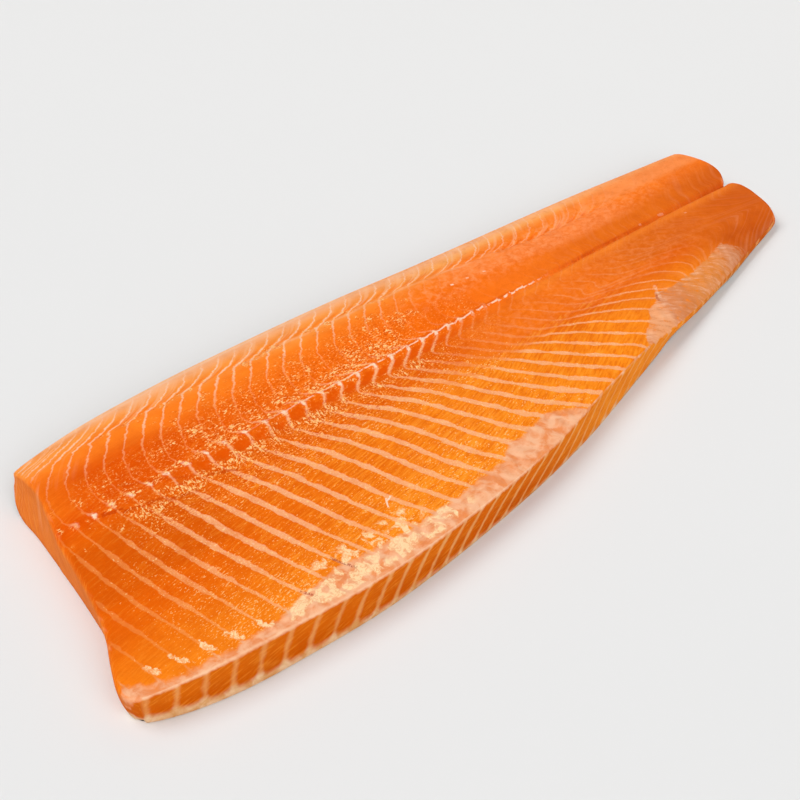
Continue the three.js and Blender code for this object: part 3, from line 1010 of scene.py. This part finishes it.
    def tail_lining(self, film):
        """The lining's duller colours towards the tail, where it is thin and streaky."""
        x = self.x
        thin_film = self.ease(x, 300, 340) * self.ease(film, 0.52, 0.36) * 0.4
        streaky = self.zone(x, *STREAKY_LINING_ALONG)
        return self.paint(
            LINING_DULL,
            (LINING_STREAK, self.ease(film + self.grain * 0.15, 0.42, 0.76)),
            (LINING_THIN, self.zone(x, *THIN_LINING_ALONG) * 0.65 + thin_film),
            (SHEET_PALE, self.zone(x, *PALE_LINING_ALONG) * 0.6),
            (LINING_SHADE, self.zone(x, *DARK_LINING_ALONG) * 0.55),
            (LINING_END, self.ease(x, 364, 386) * 0.75),
            (LINING_STREAK, self.ease(film + self.grain * 0.3, 0.55, 0.7) * streaky * 0.6),
            (LINING_SHADE, self.ease(film + self.grain * 0.5, 0.46, 0.3) * 0.45),
        )

    def belly_lining(self, colour):
        """Pink lining over the belly edge, pulled up along the sheets."""
        x, off = self.x, self.off
        by_tail = self.ease(x, 262, 285)
        film_spot = self.vector(x * 0.11 - off * 0.05, off * 0.62 + x * 0.26, 0.0)
        film = self.noise(film_spot, 1.0, 3.0, 0.6, 0.4) + self.cloud * 0.3
        uneven = self.wave(0.25, 3.0, 0.6) * (1 + by_tail * 0.7)
        cover = self.lining + uneven + self.line * 0.4 + (film - 0.5) * by_tail * 1.2
        self.patch = self.ease(cover, 0.35, 0.9) * self.ease(self.lining, 0.02, 0.25)
        pink = self.paint(
            LINING_PINK,
            (LINING_PALE, self.ease(self.cloud, -0.14, 0.12)),
            (self.tail_lining(film), by_tail),
        )
        return self.mix(colour, pink, self.patch * (0.85 + self.cloud * 0.5))

    def belly_fat(self, colour):
        """Cream fat along the foot of the belly edge, and a pale line round its rim, partly a painted
        highlight.
        """
        uneven = self.mottle * 1.6 + self.ease(self.gap, 3.0, 0.4) * 1.2
        fat = self.ease(self.field("fat") + uneven, -1.4, 1.4) * self.wall
        fat_colour = self.mix(FAT_TAN, FAT_CREAM, self.ease(self.cloud, -0.15, 0.15))
        rim_highlight = self.ease(self.field("rim") + self.tear, 0.3, 1.1)
        return self.paint(colour, (fat_colour, fat * 0.9), (SHEET_WHITE, rim_highlight * 0.55))

    def furrow_thread(self, colour):
        """A white thread along the furrow, with knots where the sheets meet it."""
        x = self.x
        thread_at = self.share * 0.5 + self.wave(0.35) * 1.2 + 1.7 - self.ease(x, 180, 290) * 1.4
        from_thread = self.off - thread_at
        thread = self.ease(from_thread.size(), 0.5, 0.12) * self.zone(x, *THREAD_ALONG)
        thread = thread * self.ease(self.tear, -0.14, -0.04)
        shadow = self.ease((from_thread - 0.8).size(), 0.7, 0.2) * self.zone(x, *SHADOW_ALONG)
        knot_off = self.off - 2.4 + self.ease(x, 90, 150) * 1.2
        from_knot = (self.gap * self.gap + knot_off * knot_off * 0.6).root() + self.wave(0.7) * 2.2
        knot = self.ease(from_knot, 1.6, 0.4) * self.zone(x, *KNOTS_ALONG)
        return self.paint(
            colour,
            (CRACK_SHADE, shadow * 0.3),
            (NODE_PINK, knot * 0.75),
            (NODE_WHITE, (thread * 0.85).high(self.ease(knot, 0.55, 1.0) * 0.8)),
        )

    def cracks(self, colour):
        """Red cracks with painted shade: one in the furrow of the tail, and short ones by the head. Two
        veins and a nick.
        """
        x, off, tear = self.x, self.off, self.tear
        in_furrow = self.ease((off - 0.7 + tear * 1.2).size(), 1.1, 0.2)
        crack = in_furrow * self.zone(x, *CRACK_ALONG) * (0.4 + self.ease(tear, -0.08, 0.06) * 0.4)
        uneven = self.wave(0.3) * 3.0
        crack = self.strongest(crack, CRACKS, off + uneven, 1.5, self.ease(tear, -0.2, -0.06))
        faint = self.ease(tear, -0.25, -0.1) * 0.45
        self.crack = self.strongest(crack, FAINT_CRACKS, off + uneven, 1.1, faint)
        waved = x + uneven * 0.3
        vein = self.stroke(x, off + uneven * 0.3, *VEIN_ALONG, 0.8)
        vein = vein.high(self.stroke(waved, off, *VEIN_ACROSS, 0.9))
        vein = vein.high(self.stroke(waved, off, *NICK, 0.9) * 0.7)
        return self.paint(
            colour,
            (CRACK_SHADE, self.crack * 0.68),
            (VEIN_RED, vein * self.ease(self.grain, -0.12, 0.05) * 0.8),
        )

    def glints(self, colour):
        """Painted glints: clusters of wet ridges on both sides of the furrow, with painted shade beside
        them.
        """
        x, off, gleam = self.x, self.off, self.field("gleam")
        loin_spot = self.vector(x * 0.55 + off * 0.3, off * 1.35 - x * 0.2, 0.0)
        loin_ridges = self.noise(loin_spot, 0.95, 2.0, 0.55, 0.9)
        belly_spot = self.vector(x * 1.15 - off * 0.3, off * 0.5 + x * 0.12, 3.0)
        belly_ridges = self.noise(belly_spot, 0.95, 2.0, 0.55, 0.9)
        ridges = loin_ridges + (belly_ridges - loin_ridges) * self.ease(off, 0.5, -1.5)
        cluster = self.ease(self.wave(0.19, 3.0, 0.62) + gleam * 0.27, 0.085, 0.3)
        cluster = cluster * (1 - self.pits * 0.85) * self.ease(gleam, 0.02, 0.3) * (1 - self.crack * 0.8)
        self.core = self.ease(ridges, 0.53, 0.62) * self.ease(cluster, 0.25, 0.9)
        self.ridge_height = ridges * (gleam * 0.6 + 0.05)
        return self.paint(
            colour,
            (GLINT_SHADE, self.ease(ridges, 0.5, 0.4) * cluster * 0.6),
            (WET_AMBER_GLINT, self.ease(ridges, 0.49, 0.57) * cluster * 0.75),
            (WET_PALE_GLINT, self.core * 0.85),
        )

    def beads(self, colour):
        """Painted glints on small wet beads, spread more widely than the glints of the ridges, with
        painted shade beside them.
        """
        spark = self.field("spark")
        bead_spot = self.vector(self.x * 0.7 + self.off * 0.3, self.off * 1.15 - self.x * 0.25, 5.0)
        beads = self.noise(bead_spot, 1.25, 2.0, 0.6, 0.5)
        bead_glinting = (spark + self.wave(0.1, 3.0, 0.6) * 2.2 * spark) * (1 - self.patch) * (1 - self.pits)
        return self.paint(
            colour,
            (GLINT_SHADE, self.ease(beads, 0.48, 0.36) * bead_glinting * 0.7),
            (WET_AMBER_GLINT, self.ease(beads, 0.53, 0.62) * bead_glinting * 0.5),
            (WET_PALE_GLINT, self.ease(beads, 0.61, 0.68) * bead_glinting * 0.75),
        )

    def dash_glints(self, colour):
        """Painted glints: short wet dashes along the fibres of the belly."""
        amount = self.field("dash_glint")
        glint_dashing = self.ease(amount, 0.0, 0.3) * (1 - self.patch)
        shiny = self.specks + (amount - 0.6) * 0.14 + self.mottle * 0.25
        self.dashes = self.ease(shiny, 0.65, 0.72) * glint_dashing
        return self.paint(
            colour,
            (WET_AMBER_GLINT, self.ease(shiny, 0.57, 0.67) * glint_dashing * 0.35),
            (WET_PALE_GLINT, self.dashes * 0.5),
        )

    def wet_sheen(self, colour):
        """Painted sheen on the lining and on the lower ends of the first sheets, broken by curls."""
        curl = self.noise(self.spot, 0.5, 2.0, 0.5, 0.9) - 0.5
        curls = self.ease(curl.size(), 0.06, 0.025)
        painted_sheen, blot = self.field("painted_sheen"), self.noise(self.spot, 0.17, 3.0, 0.5, 0.6)
        sheen = self.ease(blot + (painted_sheen - 1) * 0.12, 0.45, 0.53)
        sheen = sheen * self.ease(painted_sheen - self.line * 0.4, 0.2, 0.55)
        end_at = self.off + 73.5 + (self.x - 15) * 0.2 + self.tear * 6
        past = self.to_nearest - 0.7 + end_at * 0.3
        from_end = (past * past * 0.5 + end_at * end_at * 0.2).root() + self.wave(0.4, 3.0, 0.65) * 4.4
        ends = self.ease(from_end, 1.3, 0.8) * self.zone(self.x, *SHEET_ENDS_ALONG)
        self.sheen = sheen.high(ends) * (1 - curls * 0.6)
        return self.mix(colour, WET_SHEEN, self.sheen * 0.9)

    def white_marks(self, colour):
        """Single white spots by the furrow of the tail, a fleck on the flank and the nick's edge."""
        off, tear, grain = self.off, self.tear, self.grain
        white = self.stroke(self.x, off, *LARGE_SPOT, 0.7)
        white = self.strongest(white, SMALL_SPOTS, off, 0.6, 0.65)
        white = self.strongest(white, FAINT_SPOTS, off + tear * 1.5, 0.5, 0.25)
        white = self.strongest(white, FLECK, off + tear, 0.5, self.ease(grain, -0.2, -0.05))
        white = self.strongest(white, NICK_EDGE, off + tear * 3, 1.1, self.ease(grain, -0.14, 0.05) * 0.45)
        return self.mix(colour, NODE_WHITE, white * 0.8)

    def build(self):
        self.find_sheets()
        colour = self.field_colour("flesh")
        for layer in (
            self.fibres, self.haze, self.furrow_pits, self.sheets, self.belly_lining, self.belly_fat,
            self.furrow_thread, self.cracks, self.glints, self.beads, self.dash_glints, self.wet_sheen,
            self.white_marks,
        ):
            colour = layer(colour)
        wet = self.core.high(self.sheen).high(self.dashes * 0.6)
        height = self.fibre_height * 0.4 + self.grain * 0.2 + self.ridge_height
        height = height + self.mottle * 0.3 - self.line * 0.1
        return self.finish({
            "Base Color": colour,
            "Roughness": 0.45 - wet * 0.2 + self.cut * 0.22 + self.grain * 0.1,
            "Normal": self.bump(height, 0.4, 0.3),
            "IOR": 1.1,
            "Coat Weight": (0.02 + wet * 0.4) * (1 - self.cut) * self.ease(self.x, 480, 250),
            "Coat Roughness": 0.1,
            "Coat IOR": 1.35,
        })


def skin_look():
    """Wet scaly skin: silver grey, darker towards the back."""
    look = Look("trout_skin")
    rise = look.field("backness")
    scale_spot = look.place(0.8, 1.0, 0.4)
    scales = look.cells(scale_spot, SCALE_CLOSENESS, "F1", SCALE_UNEVENNESS)
    scale_edges = look.cells(scale_spot, SCALE_CLOSENESS, "DISTANCE_TO_EDGE", SCALE_UNEVENNESS)
    cloud = look.noise(look.place(), 0.08, 4.0, 0.6)
    silver = look.mix(SKIN_SILVER, SKIN_GREY, look.ease(cloud, 0.35, 0.7))
    slate = look.mix(SKIN_SLATE, SKIN_DARK, look.ease(cloud, 0.4, 0.65))
    colour = look.paint(
        silver,
        (slate, look.ease(rise + (cloud - 0.5) * 0.3, 0.45, 0.9)),
        (SCALE_EDGE, look.ease(scale_edges, 0.1, 0.0) * 0.35),
    )
    return look.finish({
        "Base Color": colour,
        "Roughness": 0.3 + (cloud - 0.5) * 0.15,
        "Normal": look.bump(scales, 0.5, 0.25),
        "Metallic": 0.25,
        "Coat Weight": 0.3,
        "Coat Roughness": 0.15,
    })


# ---------------------------------------------------------------- building the meshes

LEAST_LENGTH = 1e-12  # of a normal, so that nothing is divided by nought
BOX_MARGIN = 0.01  # mm by which every point stays inside the object's box
INSIDE_STEPS = 3  # rows of the grid over which the relief fades out at the border
RELIEF_DATUM = 0.12  # mm by which the relief is sunk, so that its ridges stay inside the box
BACKNESS_REACH = 52  # mm from the middle line to the skin's darkest and palest

# The finish down the walls. The sheets slant tailward and stand a little behind their ends on top.
WALL_SLANT = line_through((10, 0.1), (60, 0.5), (130, 1.2), (200, 2.1))
WALL_BEHIND = line_through(
    (0, 3), (20, 3), (47, 5.2), (62, 6.1), (77, 7.8), (100, 7.5), (140, 4.5), (185, 0),
)
WALL_WIDTH_DOWN = line_through((0, 2.0), (0.5, 1.7), (1, 1.5))
WALL_WIDTH_ALONG = line_through((0, 0.7), (60, 1), (120, 1.2), (200, 1.1), (240, 0.5), (440, 0.4))
OTHER_WALL_WIDTH = 0.8
# How far the cream fat stands above the walls' feet: along the belly, and round the head end's corner.
BELLY_FAT = line_through(
    (0.5, 0.6), (4, 3), (7, 3.7), (25, 3.1), (60, 2.6), (130, 1.8), (200, 1.1), (300, 0.7),
)
HEAD_FAT = line_through((-1, 0.6), (-0.975, 1.4), (-0.955, 4), (-0.9, 2.5), (-0.8, 0))


def vertex_normals(points, quads):
    """Normals averaged over the quads round each point."""
    a, b, c, d = (points[quads[:, k]] for k in range(4))
    face = np.cross(c - a, d - b)
    normals = np.zeros_like(points)
    for k in range(4):
        np.add.at(normals, quads[:, k], face)
    return normals / np.maximum(np.linalg.norm(normals, axis=1)[:, None], LEAST_LENGTH)


def to_frame(points):
    """From the side's own millimetres to the object's frame in metres, kept inside its box."""
    shifted = points.copy()
    shifted[:, :2] += node_low[:2] - SIDE_LOW
    shifted[:, 2] += node_low[2]
    return np.clip(shifted, node_low + BOX_MARGIN, node_high - BOX_MARGIN) / 1000


def make_piece(name, points, normals, quads, values, material):
    """A piece with some of the points and quads. Each value is a number or a colour a point."""
    used, local = np.unique(quads, return_inverse=True)
    local = local.reshape(quads.shape)
    mesh = bpy.data.meshes.new(name)
    mesh.from_pydata(to_frame(points[used]).tolist(), [], local.tolist())
    mesh.shade_smooth()
    mesh.normals_split_custom_set_from_vertices(normals[used].tolist())
    for key, value in values.items():
        value = value[used].astype(np.float32)
        if value.ndim == 1:
            mesh.attributes.new(key, "FLOAT", "POINT").data.foreach_set("value", value)
        else:
            value = np.column_stack([value, np.ones(len(used), np.float32)])
            mesh.attributes.new(key, "FLOAT_COLOR", "POINT").data.foreach_set("color", value.ravel())
    mesh.materials.append(material)
    mesh.update()
    piece = bpy.data.objects.new(name, mesh)
    bpy.context.scene.collection.objects.link(piece)
    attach(piece, "root")
    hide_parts("fillet")


def join_points(top, plan, columns, steps):
    """All the side's points, and the grids of their numbers on top, down the walls and below."""
    count, depth_rows = top.shape[0] * top.shape[1], columns.shape[1] - 1
    around = [i for i, _, _ in steps], [j for _, j, _ in steps]
    top_ids = np.arange(count).reshape(top.shape[:2])
    wall_ids = np.empty(columns.shape[:2], int)
    wall_ids[:, 0] = top_ids[around]
    wall_ids[:, 1:] = count + np.arange(len(steps) * depth_rows).reshape(len(steps), depth_rows)
    inner = under_plan(plan, columns[:, -1])[1:-1, 1:-1].reshape(-1, 2)
    under_ids = np.empty(top.shape[:2], int)
    under_ids[around] = wall_ids[:, -1]
    first = count + len(steps) * depth_rows
    under_ids[1:-1, 1:-1] = first + np.arange(len(inner)).reshape(ALONG - 1, ACROSS - 1)
    below = np.column_stack([inner, skin_height(inner[:, 0], inner[:, 1])])
    points = np.concatenate([top.reshape(-1, 3), columns[:, 1:].reshape(-1, 3), below])
    return points, top_ids, wall_ids, under_ids


def grid_quads(ids, flip=False):
    """The quads of a grid of point numbers."""
    a, b, c, d = ids[:-1, :-1], ids[1:, :-1], ids[1:, 1:], ids[:-1, 1:]
    order = (a, d, c, b) if flip else (a, b, c, d)
    return np.stack(order, -1).reshape(-1, 4)


class Wall:
    """Where the points of the walls stand, one column a border point, and which wall each is on."""

    def __init__(self, columns, side, share):
        lengths = np.linalg.norm(np.diff(columns, axis=1), axis=2)
        self.depth = np.concatenate([np.zeros((len(columns), 1)), np.cumsum(lengths, 1)], 1)
        self.full = self.depth[:, -1:]
        self.down = self.depth / self.full
        self.share = share[:, None]
        self.on_belly, self.on_head, self.on_tail = (
            (side == name)[:, None] for name in ("belly", "head", "tail"))
        edge = columns[:, :1]
        self.edge_x = edge[..., 0]
        edge_q = edge[..., 1] - mid(self.edge_x)
        wall_q = columns[..., 1] - mid(columns[..., 0])
        # The place on the flesh whose sheets and colours a point of the wall takes.
        sheet_x = self.edge_x + WALL_SLANT(self.edge_x) * self.depth - WALL_BEHIND(self.edge_x)
        self.look_x = np.where(self.on_belly, sheet_x, columns[..., 0])
        self.look_q = np.where(self.on_belly, edge_q, wall_q)
        self.fibre = np.where(self.on_belly, edge_q - self.depth, wall_q + self.depth)
        # The corner of the head end by the belly, where the lining wraps round.
        self.corner = np.where(self.on_head, ease(-0.86, -0.99, self.share), 0)

    def fields(self):
        """The sheets and the lining down the walls."""
        found = flesh_fields(self.look_x, self.look_q)
        width = WALL_WIDTH_DOWN(self.down) * WALL_WIDTH_ALONG(self.edge_x)
        belly_strength = (0.95 - 0.15 * self.down) * ease(2, 5, self.edge_x)
        belly_strength = belly_strength * (1 - 0.28 * ease(130, 70, self.edge_x))
        lining = np.where(self.on_belly, ease(330, 290, self.edge_x), self.corner)
        wrap = np.where(self.on_belly, ease(5, 1, self.edge_x), self.corner)
        wrap_foot = np.where(self.on_belly, 3.4, 8 - 4.8 * ease(-0.962, -0.982, self.share))
        wrapped = 0.8 * wrap * ease(wrap_foot, wrap_foot - 2, self.depth)
        found["width"] = np.where(self.on_belly, width, OTHER_WALL_WIDTH)
        found["strength"] = np.where(self.on_belly, belly_strength, np.where(self.on_head, 0.0, 0.25))
        found["lining"] = np.maximum(lining * 0.9 * bump(self.depth, 1.5), wrapped)
        return found

    def surface_fields(self):
        """How wet, fibrous and fatty the walls are."""
        everywhere = np.ones_like(self.depth)
        belly_share = np.where(self.on_belly, 1, np.where(self.on_head, ease(-0.8, -0.92, self.share), 0))
        fat_depth = np.where(self.on_belly, BELLY_FAT(self.edge_x), HEAD_FAT(self.share))
        # The pale line round the rim, partly a painted highlight.
        rim_highlight = bump(self.depth - 0.2, 1.3) * ease(225, 170, self.edge_x)
        return {
            "gleam": 0.1 * everywhere, "hatch": 0.7 * everywhere, "dash_glint": 0 * everywhere,
            "spark": 0 * everywhere, "painted_sheen": 0 * everywhere, "cut": everywhere,
            "streak": np.where(self.on_belly, 0, 0.2) * everywhere,
            "wall": belly_share * everywhere,
            "fat": fat_depth - (self.full - self.depth),
            "rim": np.where(self.on_belly, rim_highlight, 0),
            "off": self.look_q, "fibre": self.fibre,
        }

    def colour(self):
        # The cut is darker towards its foot: painted shade.
        cut = blend(WALL_TOP, (WALL_LOW_SHADE, ease(0.2, 0.8, self.down)))
        skin_shows = between(312, 420, 14, self.edge_x) * ease(0.25, 0.75, self.down)
        belly_wall = blend(
            cut,
            (WALL_TAIL, ease(170, 260, self.edge_x)),
            (WALL_THIN, 0.8 * ease(305, 345, self.edge_x)),
            (TAIL_RED, 0.8 * ease(372, 400, self.edge_x)),
            (TAIL_SKIN, 0.8 * skin_shows),
        )
        above = flesh_colour(self.look_x, self.look_q)
        face = blend(HEAD_FACE, (cut, self.corner))
        head_wall = blend(above, (face, ease(0.5, 2.5, self.depth)))
        tail_wall = blend(above, (TAIL_TIP * 0.9, ease(0.5, 3, self.depth)))
        walls = [wall[..., None] for wall in (self.on_belly, self.on_head, self.on_tail)]
        return np.select(walls, [belly_wall, head_wall, tail_wall], above)


def build_side():
    top, plan, across = top_grid()
    steps = border_steps()
    columns, side, share = wall_columns(top, across, steps)
    x, q = top[..., 0], top[..., 1] - mid(top[..., 0])
    fields = flesh_fields(x, q)
    i, j = np.arange(ALONG + 1)[:, None], np.arange(ACROSS + 1)[None, :]
    from_border = np.minimum(np.minimum(i, ALONG - i), np.minimum(j, ACROSS - j))
    inside = (from_border / INSIDE_STEPS).clip(0, 1)
    top[..., 2] += (relief(x, q, fields) - RELIEF_DATUM) * inside

    points, top_ids, wall_ids, under_ids = join_points(top, plan, columns, steps)
    belly_quads = grid_quads(top_ids[:, :HALF + 1])
    loin_quads = grid_quads(top_ids[:, HALF:])
    wall_quads = grid_quads(np.concatenate([wall_ids, wall_ids[:1]]), flip=True)
    under_quads = grid_quads(under_ids, flip=True)
    normals = vertex_normals(points, np.concatenate([belly_quads, loin_quads, wall_quads, under_quads]))

    wall = Wall(columns, side, share)
    on_top = {**fields, **surface_fields(x, q, fields["lining"]), "flesh": flesh_colour(x, q)}
    on_wall = {**wall.fields(), **wall.surface_fields(), "flesh": wall.colour()}
    values = {}
    for name, top_value in on_top.items():
        value = np.zeros((len(points), *top_value.shape[2:]))
        value[top_ids] = top_value
        value[wall_ids[:, 1:]] = on_wall[name][:, 1:]
        values[name] = value
    backness = np.clip((points[:, 1] - mid(points[:, 0])) / BACKNESS_REACH, -1, 1)

    flesh, skin = FleshLook().build(), skin_look()
    make_piece("belly_flesh", points, normals, belly_quads, values, flesh)
    make_piece("loin_flesh", points, normals, loin_quads, values, flesh)
    make_piece("cut_edge", points, normals, wall_quads, values, flesh)
    make_piece("skin_under", points, normals, under_quads, {"backness": backness}, skin)


build_side()

# ---------------------------------------------------------------- floor, light and camera

FLOOR_REACH = 30.0
FLOOR_TONES = (0.795, 0.795, 0.795), (0.805, 0.805, 0.805)
SKY_STRENGTH = 0.28
# Each sun's azimuth, elevation, strength and width, angles in degrees.
SUNS = {"key": (-140, 55, 1.59, 40), "fill": (-20, 38, 1.7, 60)}
LAMP_DIRECTION = 128, 44
LAMP_DISTANCE, LAMP_SIZE, LAMP_WATTS = 1.6, 0.12, 0.6
LAMP_COLOUR = 1, 0.8, 0.5
VIEW_DIRECTION = -42.7, 37.5
VIEW_DISTANCE, VIEW_ANGLE, SENSOR_WIDTH = 0.644, 30, 36
VIEW_AIM = 0.18821, 0.0892  # metres from the lowest corner of the object's box


def make_floor():
    mesh = bpy.data.meshes.new("floor")
    reach = FLOOR_REACH
    corners = [(-reach, -reach, 0), (reach, -reach, 0), (reach, reach, 0), (-reach, reach, 0)]
    mesh.from_pydata(corners, [], [(0, 1, 2, 3)])
    look = Look("pale_floor")
    colour = look.mix(*FLOOR_TONES, look.noise(look.place(), 0.004))
    mesh.materials.append(look.finish({"Base Color": colour, "Roughness": 0.9}))
    floor = bpy.data.objects.new("floor", mesh)
    bpy.context.scene.collection.objects.link(floor)


def direction(azimuth, elevation):
    """From the object towards a place, azimuth 0 being in front of it."""
    a, e = math.radians(azimuth), math.radians(elevation)
    return Vector((math.sin(a) * math.cos(e), -math.cos(a) * math.cos(e), math.sin(e)))


def add_facing(name, data, way):
    """A lamp or camera that looks back along a way from the object."""
    thing = bpy.data.objects.new(name, data)
    thing.rotation_mode = "QUATERNION"
    thing.rotation_quaternion = way.to_track_quat("Z", "Y")
    bpy.context.scene.collection.objects.link(thing)
    return thing


def add_lights():
    world = bpy.data.worlds.new("studio")
    world.use_nodes = True
    sky = world.node_tree.nodes["Background"].inputs
    sky["Color"].default_value = (1, 1, 1, 1)
    sky["Strength"].default_value = SKY_STRENGTH
    bpy.context.scene.world = world
    for name, (azimuth, elevation, strength, width) in SUNS.items():
        sun = bpy.data.lights.new(name, "SUN")
        sun.energy, sun.angle = strength, math.radians(width)
        add_facing(name, sun, direction(azimuth, elevation))
    lamp = bpy.data.lights.new("gleam", "AREA")
    lamp.energy, lamp.shape, lamp.size, lamp.color = LAMP_WATTS, "SQUARE", LAMP_SIZE, LAMP_COLOUR
    centre = Vector(((cad_box[0][0] + cad_box[1][0]) / 2, (cad_box[0][1] + cad_box[1][1]) / 2, 0))
    way = direction(*LAMP_DIRECTION)
    add_facing("gleam", lamp, way).location = centre + way * LAMP_DISTANCE


def add_camera():
    data = bpy.data.cameras.new("camera")
    data.sensor_width = SENSOR_WIDTH
    data.lens = SENSOR_WIDTH / 2 / math.tan(math.radians(VIEW_ANGLE / 2))
    aim = Vector((cad_box[0][0] + VIEW_AIM[0], cad_box[0][1] + VIEW_AIM[1], 0))
    way = direction(*VIEW_DIRECTION)
    camera = add_facing("camera", data, way)
    camera.location = aim + way * VIEW_DISTANCE
    bpy.context.scene.camera = camera


make_floor()
add_lights()
add_camera()
bpy.context.scene.view_settings.view_transform = "Standard"
